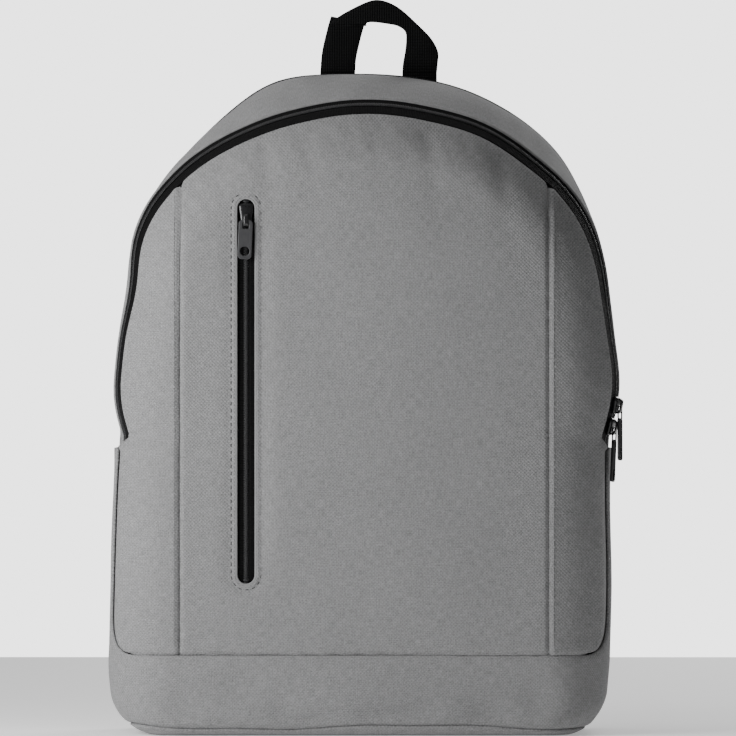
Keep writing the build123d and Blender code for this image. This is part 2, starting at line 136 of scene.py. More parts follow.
def soft_table(at, table):
    """A few given values joined by a smoothed line."""
    knots = np.array(table, float)
    total = 0
    for shift, weight in ((-5, 1), (-2.5, 2), (0, 3), (2.5, 2), (5, 1)):
        total = total + weight * np.interp(at + shift, knots[:, 0], knots[:, 1])
    return total / 9


def steps(low, high, step):
    return np.linspace(low, high, max(2, int(round((high - low) / step * FINE)) + 1))


# ---------------------------------------------------------------- meshes

def smooth_mesh(name, vertices, faces, uv=None):
    """A smooth-shaded object from arrays in mm, with real-size texture coordinates where given."""
    mesh = bpy.data.meshes.new(name)
    mesh.from_pydata([tuple(v) for v in np.asarray(vertices) * MM], [],
            [tuple(int(i) for i in f) for f in faces])
    if uv is not None:
        layer = mesh.uv_layers.new(name="weave")
        loops = np.zeros(len(mesh.loops), np.int32)
        mesh.loops.foreach_get("vertex_index", loops)
        layer.data.foreach_set("uv", (np.asarray(uv, float) * MM)[loops].ravel())
    mesh.polygons.foreach_set("use_smooth", np.ones(len(mesh.polygons), bool))
    obj = bpy.data.objects.new(name, mesh)
    bpy.context.scene.collection.objects.link(obj)
    return obj


def grid_normals(points):
    """Unit normals of a grid of points, from its two directions."""
    normals = np.cross(np.gradient(points, axis=0), np.gradient(points, axis=1))
    return normals / np.maximum(np.linalg.norm(normals, axis=2, keepdims=True), 1e-12)


def grid_uv(points):
    """Distances along both directions of a grid, averaged, so a weave keeps its size."""
    across = np.linalg.norm(np.diff(points, axis=0), axis=2)
    along = np.linalg.norm(np.diff(points, axis=1), axis=2)
    u = np.concatenate([np.zeros((1, points.shape[1])), np.cumsum(across, axis=0)])
    v = np.concatenate([np.zeros((points.shape[0], 1)), np.cumsum(along, axis=1)], axis=1)
    return np.stack([u, v], 2)


def slab(name, points, outward, thickness=CLOTH, keep=None, uv=None, relief=None, ring=False):
    """A closed sheet of cloth: its outer face is the grid of points, its inner face lies behind it.

    outward is any direction, or grid of them, on the side of the outer face.
    """
    rows, columns = points.shape[:2]
    if uv is None:
        uv = grid_uv(points)
    normals = grid_normals(points)
    facing = np.sum(normals * outward, axis=2)
    flip = np.mean(facing) < 0
    if flip:
        normals = -normals
    if relief is not None:
        points = points + normals * relief[..., None]
        normals = grid_normals(points) * (-1 if flip else 1)
    outer = points.reshape(-1, 3)
    inner = (points - normals * thickness).reshape(-1, 3)
    count = rows * columns
    last = columns if ring else columns - 1
    if keep is None:
        keep = np.ones((rows - 1, last), bool)
    i, j = np.nonzero(keep)
    k = (j + 1) % columns
    a, b, c, d = i * columns + j, (i + 1) * columns + j, (i + 1) * columns + k, i * columns + k
    guard = np.zeros((rows + 1, last + 2), bool)
    guard[1:-1, 1:-1] = keep
    if ring:
        guard[1:-1, 0], guard[1:-1, -1] = keep[:, -1], keep[:, 0]
    sides = ((~guard[i, j + 1], d, a), (~guard[i + 2, j + 1], b, c), (~guard[i + 1, j], a, b),
            (~guard[i + 1, j + 2], c, d))
    faces = [np.stack([a, b, c, d], 1), np.stack([d, c, b, a], 1) + count]
    for open_side, start, end in sides:
        s, e = start[open_side], end[open_side]
        faces.append(np.stack([e, s, s + count, e + count], 1))
    faces = np.concatenate(faces)
    if flip:
        faces = faces[:, ::-1]
    used = np.unique(faces)
    index = np.zeros(2 * count, int)
    index[used] = np.arange(len(used))
    flat_uv = np.concatenate([uv.reshape(-1, 2)] * 2)[used]
    return smooth_mesh(name, np.concatenate([outer, inner])[used], index[faces], flat_uv)


def swept(rings, closed=False):
    """Vertices and faces of a solid whose closed sections are given one after another."""
    count, around = rings.shape[:2]
    faces = []
    for i in range(count if closed else count - 1):
        n = (i + 1) % count
        for j in range(around):
            m = (j + 1) % around
            faces.append((i * around + j, n * around + j, n * around + m, i * around + m))
    if not closed:
        faces.append(tuple(range(around)))
        faces.append(tuple(range((count - 1) * around, count * around))[::-1])
    return rings.reshape(-1, 3), faces


def outward_faces(obj):
    """Turn every face of a closed mesh outwards and merge doubled points."""
    made = bmesh.new()
    made.from_mesh(obj.data)
    bmesh.ops.remove_doubles(made, verts=made.verts, dist=1e-6)
    bmesh.ops.recalc_face_normals(made, faces=made.faces)
    made.to_mesh(obj.data)
    made.free()
    return obj


def merge(name, pieces, uvs=None):
    """Join (vertices, faces) pairs into one object."""
    vertices, faces, offset = [], [], 0
    for points, quads in pieces:
        vertices.append(points)
        faces.extend([tuple(int(i) + offset for i in q) for q in quads])
        offset += len(points)
    uv = None if uvs is None else np.concatenate(uvs)
    return outward_faces(smooth_mesh(name, np.concatenate(vertices), faces, uv))


def along_path(path):
    """Distance run at each point of a path."""
    return np.concatenate([[0], np.cumsum(np.linalg.norm(np.diff(path, axis=0), axis=1))])


def evenly(path, step, closed=False):
    """The same path with points at even distances."""
    path = np.asarray(path, float)
    if closed:
        path = np.concatenate([path, path[:1]])
    run = along_path(path)
    at = np.linspace(0, run[-1], max(3, int(run[-1] / step) + 1))
    if closed:
        at = at[:-1]
    return np.stack([np.interp(at, run, path[:, k]) for k in range(path.shape[1])], 1)


def curve_through(points, step=1.5):
    """A smooth curve through a few points."""
    points = np.asarray(points, float)
    p = np.concatenate([[2 * points[0] - points[1]], points, [2 * points[-1] - points[-2]]])
    t = np.linspace(0, 1, 24, endpoint=False)[:, None]
    parts = []
    for i in range(1, len(p) - 2):
        parts.append(0.5 * (2 * p[i] + (p[i + 1] - p[i - 1]) * t
                            + (2 * p[i - 1] - 5 * p[i] + 4 * p[i + 1] - p[i + 2]) * t ** 2
                            + (3 * p[i] - p[i - 1] - 3 * p[i + 1] + p[i + 2]) * t ** 3))
    return evenly(np.concatenate(parts + [p[-2:-1]]), step)


STRIP_SECTION = np.array([(-1, 0.2), (-0.985, 0.75), (-0.93, 1), (-0.5, 1), (0, 1), (0.5, 1), (0.93, 1),
        (0.985, 0.75),
                          (1, 0.2), (1, -0.2), (0.985, -0.75), (0.93, -1), (0.5, -1), (0, -1), (-0.5, -1),
                          (-0.93, -1), (-0.985, -0.75), (-1, -0.2)])


def strip(path, sideways, face, width, thickness, bow=0.0):
    """Flat webbing along a path as (vertices, faces), uv. sideways and face are unit directions at each point."""
    path = np.asarray(path, float)
    sideways = np.broadcast_to(sideways, path.shape)
    face = np.broadcast_to(face, path.shape)
    width = np.broadcast_to(np.asarray(width, float), (len(path),))
    w, h = STRIP_SECTION.T
    rings = (path[:, None] + sideways[:, None] * w[None, :, None] * width[:, None, None] / 2
             + face[:, None] * ((h * thickness / 2)[None, :, None] + bow * (1 - w ** 2)[None, :, None]))
    run = along_path(path)
    uv = np.stack([np.repeat(run, len(w)), (w[None] * width[:, None] / 2).ravel()], 1)
    return swept(rings), uv


def wire(path, radius, closed=False, sides=10):
    """A round wire along a path, as (vertices, faces)."""
    path = np.asarray(path, float)
    count = len(path)
    if closed:
        tangents = np.roll(path, -1, axis=0) - np.roll(path, 1, axis=0)
    else:
        tangents = np.gradient(path, axis=0)
    tangents /= np.linalg.norm(tangents, axis=1, keepdims=True)
    side = np.cross(tangents[0], [0.31, 0.27, 0.91])
    rings = []
    turn = np.arange(sides) * 2 * math.pi / sides
    for k in range(count):
        side = side - tangents[k] * np.dot(side, tangents[k])
        side /= np.linalg.norm(side)
        other = np.cross(tangents[k], side)
        rings.append(path[k] + radius * (np.outer(np.cos(turn), side) + np.outer(np.sin(turn), other)))
    return swept(np.array(rings), closed)


def capsules(starts, ends, ups, radius, flat=1.0, sides=6):
    """Many small rounded threads or teeth at once, as (vertices, faces)."""
    axis = ends - starts
    axis /= np.linalg.norm(axis, axis=1, keepdims=True)
    side = np.cross(axis, ups)
    side /= np.maximum(np.linalg.norm(side, axis=1, keepdims=True), 1e-12)
    high = np.cross(side, axis) * flat
    turn = np.arange(sides) * 2 * math.pi / sides
    rings = []
    for centre, scale in ((starts - axis * radius * 0.8, 0.35), (starts, 1.0), (ends, 1.0),
            (ends + axis * radius * 0.8, 0.35)):
        rings.append(centre[:, None] + radius * scale * (np.cos(turn)[None, :, None] * side[:, None]
                                                        + np.sin(turn)[None, :, None] * high[:, None]))
    vertices = np.stack(rings, 1).reshape(-1, 3)
    one = [(r * sides + s, r * sides + (s + 1) % sides, (r + 1) * sides + (s + 1) % sides,
            (r + 1) * sides + s)
           for r in range(3) for s in range(sides)]
    one += [tuple(range(sides))[::-1], tuple(range(3 * sides, 4 * sides))]
    faces = [tuple(i + n * 4 * sides for i in f) for n in range(len(starts)) for f in one]
    return vertices, faces


def stitch_row(path, ups, pitch=4.2, length=3.0, radius=0.24, sink=0.02):
    """Single stitches that lie along a path on the cloth, as (vertices, faces)."""
    path = np.asarray(path, float)
    run = along_path(path)
    ups = np.broadcast_to(ups, path.shape)
    at = np.arange(pitch / 2, run[-1] - length, pitch)
    spot = lambda d, data: np.stack([np.interp(d, run, data[:, k]) for k in range(3)], 1)
    lift = spot(at, ups)
    return capsules(spot(at, path) - lift * sink, spot(at + length, path) - lift * sink, lift, radius, 0.8)


def lumps(points, scale, seed=0.0):
    """Smooth noise, about -1 to 1, at each point. scale is the size of its lumps in mm."""
    flat = points.reshape(-1, points.shape[-1]) / scale + seed
    if flat.shape[1] == 2:
        flat = np.concatenate([flat, np.full((len(flat), 1), seed)], 1)
    return np.array([noise.noise(Vector(p)) for p in flat]).reshape(points.shape[:-1])


# ---------------------------------------------------------------- the zip's line and the bag's surfaces

def zip_frame(q):
    """The zip's line at q degrees: its points, outward directions, and lean in radians."""
    q = np.asarray(q, float)
    a = np.clip(q, ARCH_LOW, ARCH_HIGH)
    spare = np.abs(q - a) * math.pi / 180 * ZIP_R
    r = ZIP_R + soft_table(a, ZIP_STRAY)
    c, s = np.cos(np.radians(a)), np.sin(np.radians(a))
    points = np.stack([r * c - np.where(c > 0, 0.1, 0.02) * np.sign(c) * spare, np.full_like(a, ZIP_Y),
            ZIP_Z + r * s - spare], -1)
    straight = smooth(spare / 10)
    out = np.stack([mix(c, np.sign(c), straight), np.zeros_like(a), mix(s, 0, straight)], -1)
    out /= np.linalg.norm(out, axis=-1, keepdims=True)
    lean = np.radians(mix(LEAN_SIDE, LEAN_TOP, smooth(np.clip(s, 0, 1))))
    return points, out, lean


def zip_point(q, across, lift=0.0):
    """A point across mm towards the front from the zip's middle, and lift mm off its face."""
    points, out, lean = zip_frame(q)
    lean = lean[..., None]
    forward = np.array([0.0, -1.0, 0.0])
    return (points + (forward * np.cos(lean) - out * np.sin(lean)) * np.asarray(across)[..., None]
            + (out * np.cos(lean) + forward * np.sin(lean)) * np.asarray(lift)[..., None])


def zip_face(q):
    """The direction the zip's face looks in."""
    _, out, lean = zip_frame(q)
    return out * np.cos(lean)[..., None] + np.array([0.0, -1.0, 0.0]) * np.sin(lean)[..., None]


Q = np.linspace(ARCH_LOW - TAIL_RIGHT, ARCH_HIGH + TAIL_LEFT, 1200)
RIM = zip_point(Q, np.full_like(Q, TAPE_FRONT))
RIM_R = np.hypot(RIM[:, 0], RIM[:, 2] - ZIP_Z)
RIM_A = np.degrees(np.arctan2(RIM[:, 2] - ZIP_Z, RIM[:, 0]))
RIM_A[RIM_A < -90] += 360


def half_width(z, side):
    """How far the lower bag reaches to one side."""
    table = RIGHT_HALF if side > 0 else LEFT_HALF
    knots = np.array(table, float)
    return (np.interp(z - 8, knots[:, 0], knots[:, 1]) + np.interp(z + 8, knots[:, 0], knots[:, 1])) / 2


def rim_at(z, side):
    """x of the front's outer edge at one height, on one side."""
    part = RIM[Q < 88] if side > 0 else RIM[Q > 92][::-1]
    high = np.abs(np.interp(z, part[:, 2], part[:, 0]))
    low = half_width(z, side) - CORNER + CORNER * math.sin(math.radians(SIDE_TURN))
    return mix(low, high, smooth((z - JOIN_Z) / 8))


def rim_top(x):
    """z of the front's upper edge at one x."""
    part = RIM[(Q > 20) & (Q < 160)][::-1]
    return np.interp(x, part[:, 0], part[:, 2])


def front_y(x, z):
    """The front's face, flat in the middle and turned back near its edges."""
    x, z = np.broadcast_arrays(np.asarray(x, float), np.asarray(z, float))
    q = np.degrees(np.arctan2(z - ZIP_Z, x))
    up = z >= ZIP_Z
    r = np.where(up, np.hypot(x, z - ZIP_Z), np.abs(x))
    rim_r = np.where(up, np.interp(q, RIM_A, RIM_R), np.where(x > 0, rim_at(z, 1), rim_at(z, -1)))
    rim_y = np.where(up, np.interp(q, RIM_A, RIM[:, 1]), RIM[len(Q) // 40, 1])
    low_y = FRONT_Y + CORNER * (1 - math.cos(math.radians(SIDE_TURN)))
    rim_y = mix(low_y, rim_y, smooth((z - JOIN_Z) / 8))
    low = smooth((ZIP_Z - z) / (ZIP_Z - JOIN_Z))
    turn = np.radians(mix(RIM_TURN, SIDE_TURN, low))
    wide = mix(30 + 8 * (1 - np.sin(np.radians(np.clip(q, 0, 180)))),
            CORNER * math.sin(math.radians(SIDE_TURN)), low)
    s = np.clip((r - rim_r + wide) / wide, 0, 1) * np.sin(turn)
    return FRONT_Y + (rim_y - FRONT_Y) * (1 - np.sqrt(1 - s ** 2)) / (1 - np.cos(turn))


def rim_distance(x, z):
    """How far in from the zipped edge a place on the front is, in mm."""
    q = np.degrees(np.arctan2(z - ZIP_Z, x))
    up = z >= ZIP_Z
    return np.where(up, np.interp(q, RIM_A, RIM_R) - np.hypot(x, z - ZIP_Z),
                    np.where(x > 0, rim_at(z, 1), rim_at(z, -1)) - np.abs(x))


def front_relief(x, z):
    """Billow, wrinkles and puckers of the front cloth, in mm outwards."""
    place = np.stack([x, z], -1)
    rim = rim_distance(x, z)
    inner = smooth(rim / 30)
    belly = 3.2 * np.clip(1 - ((x - 18) / 125) ** 2, 0, 1) * smooth((z - 40) / 120) * smooth((rim - 4) / 70)
    total = belly + 1.8 * lumps(place, 95.0, 3.0) * inner + 0.5 * lumps(place, 34.0, 9.0) * smooth(rim / 8)
    for at, wide, deep, long in ((-64, 6, 1.5, 46), (-36, 5, 1.1, 34), (41, 6, 1.4, 40), (85, 7, 1.5, 44),
                                 (8, 5, 0.7, 30), (-92, 6, 0.9, 34)):
        drift = at + 0.10 * (ZIP_Z + 130 - z)
        total = total - deep * np.exp(-((x - drift) / wide) ** 2) * np.exp(-rim / long) * smooth((z - 300)
                / 40) * smooth(rim / 9)
    fine = np.sin(0.43 * x + 1.7 * np.sin(0.11 * x) + 0.29 * z + 1.1 * np.sin(0.09 * z))
    total = total + 0.45 * fine * np.exp(-rim / 11) * smooth((rim - 1) / 7)
    for seam in (SEAM_LEFT, SEAM_RIGHT):
        total = total + 0.22 * np.sin(0.38 * z + 2.0 * np.sin(0.07 * z)) * np.exp(-np.abs(x - seam) / 6)
    total = total + 0.25 * np.sin(0.33 * x + 2.2 * np.sin(0.05 * x)) * np.exp(-np.abs(z - PANEL_LOW) / 7)
    return total


def groove(*distances, deep=1.3, wide=2.6):
    """How far cloth dips where it runs into a seam."""
    return -sum(deep * (1 - smooth(d / wide)) for d in distances)


def tub_point(s, z, side):
    """The lower bag unrolled: s mm round from the middle of the front, at height z, on one side."""
    s, z = np.broadcast_arrays(np.asarray(s, float), np.asarray(z, float))
    half = half_width(np.full_like(z, 100.0), side)
    flat = half - CORNER
    turn = np.clip((s - flat) / CORNER, 0, math.pi / 2)
    straight = np.maximum(s - flat - CORNER * math.pi / 2, 0)
    x = np.minimum(s, flat) + CORNER * np.sin(turn)
    y = FRONT_Y + CORNER * (1 - np.cos(turn)) + straight
    nx, ny = np.sin(turn), -np.cos(turn)
    base = mix(14.0, 27.0, nx ** 2)
    inset = base - np.sqrt(np.maximum(base ** 2 - np.maximum(base - z, 0) ** 2, 0))
    depth = np.clip((y - FRONT_Y) / (BACK_FRONT - FRONT_Y), 0, 1)
    bulge = 2.2 * np.sin(math.pi * depth) * nx * smooth(z / 50)
    grow = (half_width(z, side) - half) * nx + bulge - inset
    return np.stack([side * (x + nx * grow), y + ny * grow, z],
            -1), np.stack([side * nx, ny, np.zeros_like(nx)], -1)


def base_seam(s):
    """Height of the seam round the bottom; s runs round from the middle of the front, below 0 to the left."""
    return BASE_Z + 1.5 * np.sin(0.030 * s + 0.6) + 0.5 * np.sin(0.083 * s + 2.0)


def seam_run(side):
    """Unrolled distance from the middle of the front to the strip's outer seam, and to the back edge."""
    flat = half_width(np.array(100.0), side) - CORNER
    return flat + CORNER * math.radians(SIDE_TURN), flat + CORNER * math.pi / 2 + BACK_FRONT - FRONT_Y - CORNER


# ---------------------------------------------------------------- materials

def new_material(name):
    material = bpy.data.materials.new(name)
    material.use_nodes = True
    nodes, links = material.node_tree.nodes, material.node_tree.links
    return material, nodes, links, nodes["Principled BSDF"]


def math_node(nodes, links, kind, first, second):
    made = nodes.new("ShaderNodeMath")
    made.operation = kind
    for slot, value in ((0, first), (1, second)):
        if isinstance(value, (int, float)):
            made.inputs[slot].default_value = value
        else:
            links.new(value, made.inputs[slot])
    return made.outputs[0]


def streaks(nodes, links, source, scale, detail=2.0):
    """Noise stretched by a different scale each way."""
    mapping = nodes.new("ShaderNodeMapping")
    mapping.inputs["Scale"].default_value = scale
    links.new(source, mapping.inputs["Vector"])
    grain = nodes.new("ShaderNodeTexNoise")
    grain.inputs["Scale"].default_value = 1.0
    grain.inputs["Detail"].default_value = detail
    links.new(mapping.outputs["Vector"], grain.inputs["Vector"])
    return grain.outputs["Fac"]


def woven(name, colour, pitch=0.00115, depth=0.00030, rough=0.85, sheen=0.12, yarn=0.36, blotch=0.06):
    """Woven cloth: over-and-under threads, uneven yarn, slow colour drift, and a soft sheen."""
    material, nodes, links, shader = new_material(name)
    place = nodes.new("ShaderNodeUVMap")
    place.uv_map = "weave"
    uv = place.outputs["UV"]
    cut = nodes.new("ShaderNodeSeparateXYZ")
    links.new(uv, cut.inputs[0])
    turns = 2 * math.pi / pitch
    u = math_node(nodes, links, "SINE", math_node(nodes, links, "MULTIPLY", cut.outputs[0], turns / 2), 0.0)
    v = math_node(nodes, links, "SINE", math_node(nodes, links, "MULTIPLY", cut.outputs[1], turns / 2), 0.0)
    threads = math_node(nodes, links, "MULTIPLY", u, v)
    warp = streaks(nodes, links, uv, (1500, 160, 1))
    weft = streaks(nodes, links, uv, (160, 1500, 1))
    drift = streaks(nodes, links, uv, (14, 14, 1), 4.0)
    both = math_node(nodes, links, "ADD", warp, weft)
    level = math_node(nodes, links, "MULTIPLY_ADD", both, yarn * 2)
    level.node.inputs[2].default_value = 1 - yarn * 2
    slow = math_node(nodes, links, "MULTIPLY_ADD", drift, blotch * 2)
    slow.node.inputs[2].default_value = 1 - blotch
    weave_tone = math_node(nodes, links, "MULTIPLY_ADD", threads, 0.13)
    weave_tone.node.inputs[2].default_value = 1.0
    tone = math_node(nodes, links, "MULTIPLY", math_node(nodes, links, "MULTIPLY", level, slow), weave_tone)
    tint = nodes.new("ShaderNodeVectorMath")
    tint.operation = "SCALE"
    tint.inputs[0].default_value = colour
    links.new(tone, tint.inputs["Scale"])
    links.new(tint.outputs[0], shader.inputs["Base Color"])
    bump = nodes.new("ShaderNodeBump")
    bump.inputs["Strength"].default_value = 0.5
    bump.inputs["Distance"].default_value = depth
    height = math_node(nodes, links, "ADD", threads, math_node(nodes, links, "MULTIPLY", both, 1.2))
    links.new(height, bump.inputs["Height"])
    links.new(bump.outputs[0], shader.inputs["Normal"])
    wear = math_node(nodes, links, "MULTIPLY_ADD", drift, 0.12)
    wear.node.inputs[2].default_value = rough - 0.06
    links.new(wear, shader.inputs["Roughness"])
    shader.inputs["Specular IOR Level"].default_value = 0.25
    shader.inputs["Sheen Weight"].default_value = sheen
    shader.inputs["Sheen Roughness"].default_value = 0.4
    return material


def ribbed(name, colour, pitch, depth=0.00022, rough=0.6, across=True, sheen=0.1):
    """Tape or webbing with ribs across or along it."""
    material, nodes, links, shader = new_material(name)
    place = nodes.new("ShaderNodeUVMap")
    place.uv_map = "weave"
    cut = nodes.new("ShaderNodeSeparateXYZ")
    links.new(place.outputs["UV"], cut.inputs[0])
    first, second = (0, 1) if across else (1, 0)
    ribs = math_node(nodes, links, "SINE",
            math_node(nodes, links, "MULTIPLY", cut.outputs[first], 2 * math.pi / pitch), 0.0)
    cords = math_node(nodes, links, "SINE",
            math_node(nodes, links, "MULTIPLY", cut.outputs[second], 2 * math.pi / pitch / 0.8), 0.0)
    grain = streaks(nodes, links, place.outputs["UV"], (900, 900, 1))
    weave = math_node(nodes, links, "MULTIPLY_ADD", cords, 0.45)
    links.new(ribs, weave.node.inputs[2])
    height = math_node(nodes, links, "ADD", weave, math_node(nodes, links, "MULTIPLY", grain, 0.6))
    tone = math_node(nodes, links, "MULTIPLY_ADD", height, 0.22)
    tone.node.inputs[2].default_value = 0.9
    tint = nodes.new("ShaderNodeVectorMath")
    tint.operation = "SCALE"
    tint.inputs[0].default_value = colour
    links.new(tone, tint.inputs["Scale"])
    links.new(tint.outputs[0], shader.inputs["Base Color"])
    bump = nodes.new("ShaderNodeBump")
    bump.inputs["Strength"].default_value = 0.6
    bump.inputs["Distance"].default_value = depth
    links.new(height, bump.inputs["Height"])
    links.new(bump.outputs[0], shader.inputs["Normal"])
    shader.inputs["Roughness"].default_value = rough
    shader.inputs["Specular IOR Level"].default_value = 0.09
    shader.inputs["Sheen Weight"].default_value = sheen
    return material


def hard(name, colour, rough, metallic=0.0, coat=0.0, scratch=0.00004):
    """Metal or moulded plastic with faint casting texture and handling marks."""
    material, nodes, links, shader = new_material(name)
    place = nodes.new("ShaderNodeTexCoord")
    wear = streaks(nodes, links, place.outputs["Object"], (420, 420, 420), 5.0)
    tone = math_node(nodes, links, "MULTIPLY_ADD", wear, 0.3)
    tone.node.inputs[2].default_value = 0.85
    tint = nodes.new("ShaderNodeVectorMath")
    tint.operation = "SCALE"
    tint.inputs[0].default_value = colour
    links.new(tone, tint.inputs["Scale"])
    links.new(tint.outputs[0], shader.inputs["Base Color"])
    uneven = math_node(nodes, links, "MULTIPLY_ADD", wear, 0.2)
    uneven.node.inputs[2].default_value = rough - 0.1
    links.new(uneven, shader.inputs["Roughness"])
    bump = nodes.new("ShaderNodeBump")
    bump.inputs["Strength"].default_value = 0.4
    bump.inputs["Distance"].default_value = scratch
    links.new(wear, bump.inputs["Height"])
    links.new(bump.outputs[0], shader.inputs["Normal"])
    shader.inputs["Metallic"].default_value = metallic
    shader.inputs["Coat Weight"].default_value = coat
    return material


grey_cloth = woven("grey_cloth", (0.235, 0.235, 0.237))
mesh_cloth = woven("back_mesh", (0.035, 0.035, 0.037), pitch=0.0024, depth=0.0005, rough=0.9, sheen=0.15,
        blotch=0.12)
lining_cloth = woven("lining", (0.05, 0.05, 0.052), pitch=0.0005, depth=0.0001, rough=0.75)
binding_cloth = ribbed("binding", (0.022, 0.022, 0.023), 0.0012, rough=0.75)
tape_cloth = ribbed("zip_tape", (0.004, 0.004, 0.0042), 0.00105, rough=0.62, sheen=0.0)
webbing_cloth = ribbed("webbing", (0.0055, 0.0055, 0.0058), 0.0019, depth=0.0005, rough=0.6, sheen=0.0)
thread = hard("thread", (0.16, 0.16, 0.162), 0.8)
black_thread = hard("black_thread", (0.02, 0.02, 0.02), 0.8)
coil_plastic = hard("coil", (0.014, 0.014, 0.015), 0.42)
slider_paint = hard("slider_paint", (0.012, 0.012, 0.013), 0.3, metallic=0.2, coat=0.5)
pull_metal = hard("pull_metal", (0.02, 0.02, 0.021), 0.42, metallic=0.3, coat=0.1)
pocket_metal = hard("pocket_pull_metal", (0.06, 0.06, 0.063), 0.42, metallic=0.4, coat=0.1)
dark_metal = hard("dark_metal", (0.03, 0.03, 0.032), 0.35, metallic=0.6, coat=0.2)
buckle_plastic = hard("buckle", (0.018, 0.018, 0.019), 0.45, coat=0.1)


def fit(obj, material, body, *nodes):
    """Give a piece its material, its body and the CAD nodes it stands for. A "fold" piece has its place baked in
    and joins no body.
    """
    obj.data.materials.clear()
    obj.data.materials.append(material)
    if body == "fold":
        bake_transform(obj)
    else:
        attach(obj, body)
    if nodes:
        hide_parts(*nodes)
    return obj


FORWARD = np.array([0.0, -1.0, 0.0])
CORE = np.array([0.0, 0.0, 200.0])

# ---------------------------------------------------------------- front panel with its pocket window

def to_window(x, z):
    """The nearest point on the pocket window's rounded outline, for places near its round ends."""
    low, high = WINDOW_LOW + WINDOW_HALF, WINDOW_HIGH - WINDOW_HALF
    centre_z = np.clip(z, low, high)
    dx, dz = x - WINDOW_X, z - centre_z
    length = np.maximum(np.hypot(dx, dz), 1e-9)
    return WINDOW_X + dx / length * WINDOW_HALF, centre_z + dz / length * WINDOW_HALF


def window_distance(x, z):
    """Distance outwards from the window's outline, below 0 inside it."""
    low, high = WINDOW_LOW + WINDOW_HALF, WINDOW_HIGH - WINDOW_HALF
    return np.hypot(x - WINDOW_X, z - np.clip(z, low, high)) - WINDOW_HALF


close = np.array([0, 0.6, 1.3, 2.1, 3.0])
left_edge, right_edge = WINDOW_X - WINDOW_HALF, WINDOW_X + WINDOW_HALF
across = np.concatenate([
    SEAM_LEFT + close, steps(SEAM_LEFT + 4.5, left_edge - 3.5, 2.6), left_edge - close[::-1][:-1] * 0.9,
    np.linspace(left_edge, right_edge, 9), right_edge + close[1:] * 0.9,
    steps(right_edge + 4.5, SEAM_RIGHT - 4.5, 2.6), SEAM_RIGHT - close[::-1]])
SPLIT_Z = 342.0
upward = np.concatenate([
    PANEL_LOW + close, steps(PANEL_LOW + 4.5, WINDOW_LOW - 4, 2.8),
            np.linspace(WINDOW_LOW - 3, WINDOW_LOW + 8, 12),
    steps(WINDOW_LOW + 10, WINDOW_HIGH - 10, 2.4), np.linspace(WINDOW_HIGH - 8, WINDOW_HIGH + 2, 11)])
upper = np.concatenate([np.linspace(0, 0.86, int(16 * FINE) + 2)[1:], [0.9, 0.93, 0.955, 0.975, 0.99, 1.0]])

X = np.repeat(across[:, None], len(upward) + len(upper), axis=1)
top = rim_top(across)
Z = np.concatenate([np.repeat(upward[None], len(across), axis=0),
        SPLIT_Z + (top[:, None] - SPLIT_Z) * upper[None]], axis=1)
middle_x, middle_z = (X[:-1, :-1] + X[1:, 1:]) / 2, (Z[:-1, :-1] + Z[1:, 1:]) / 2
keep = window_distance(middle_x, middle_z) > 0
touched = np.zeros(X.shape, int)
held = np.zeros(X.shape, int)
for di in (0, 1):
    for dj in (0, 1):
        touched[di:X.shape[0] - 1 + di, dj:X.shape[1] - 1 + dj] += (~keep).astype(int)
        held[di:X.shape[0] - 1 + di, dj:X.shape[1] - 1 + dj] += keep.astype(int)
edge = (touched > 0) & (held > 0)
snap_x, snap_z = to_window(X, Z)
X, Z = np.where(edge, snap_x, X), np.where(edge, snap_z, Z)
near_window = window_distance(X, Z)
rim = rim_distance(X, Z)
relief = front_relief(X, Z) + groove(X - SEAM_LEFT, SEAM_RIGHT - X, Z - PANEL_LOW)
relief = relief * smooth((np.abs(near_window) - 0.5) / 14)
relief = relief + 0.5 * np.exp(-((near_window - 1.3) / 1.3) ** 2) - 0.35 * np.exp(-((near_window - 3.4)
        / 0.9) ** 2)
relief = relief + 0.8 * (1 - smooth(rim / 5)) * (Z > JOIN_Z)
points = np.stack([X, front_y(X, Z), Z], -1)
front = slab("front_panel_cloth", points, FORWARD, keep=keep, uv=np.stack([X, Z], -1), relief=relief)
fit(front, grey_cloth, "fold", "front_panel", "flap_panel")


def on_front(x, z, lift=0.0):
    """Points on the front cloth, raised by lift mm."""
    x, z = np.asarray(x, float), np.asarray(z, float)
    step = 0.5
    slope_x = (front_y(x + step, z) - front_y(x - step, z)) / (2 * step)
    slope_z = (front_y(x, z + step) - front_y(x, z - step)) / (2 * step)
    normal = np.stack([slope_x, -np.ones_like(slope_x), slope_z], -1)
    normal /= np.linalg.norm(normal, axis=-1, keepdims=True)
    damp = smooth((np.abs(window_distance(x, z)) - 0.5) / 14)
    high = front_relief(x, z) * damp + lift
    return np.stack([x, front_y(x, z), z], -1) + normal * high[..., None], normal


# a rolled lip and its ring of short stitches round the window
turn = np.linspace(0, math.pi, 17)
cap = np.stack([WINDOW_HALF * np.cos(turn), WINDOW_HALF * np.sin(turn)], 1)
ring_top = cap + (WINDOW_X, WINDOW_HIGH - WINDOW_HALF)
ring_low = -cap + (WINDOW_X, WINDOW_LOW + WINDOW_HALF)
outline = evenly(np.concatenate([ring_top, ring_low]), 2.0, closed=True)


def grown(path, amount):
    """The window's outline, moved outwards."""
    centre = np.stack([np.full(len(path), WINDOW_X),
                       np.clip(path[:, 1], WINDOW_LOW + WINDOW_HALF, WINDOW_HIGH - WINDOW_HALF)], 1)
    away = path - centre
    return path + away / np.linalg.norm(away, axis=1, keepdims=True) * amount


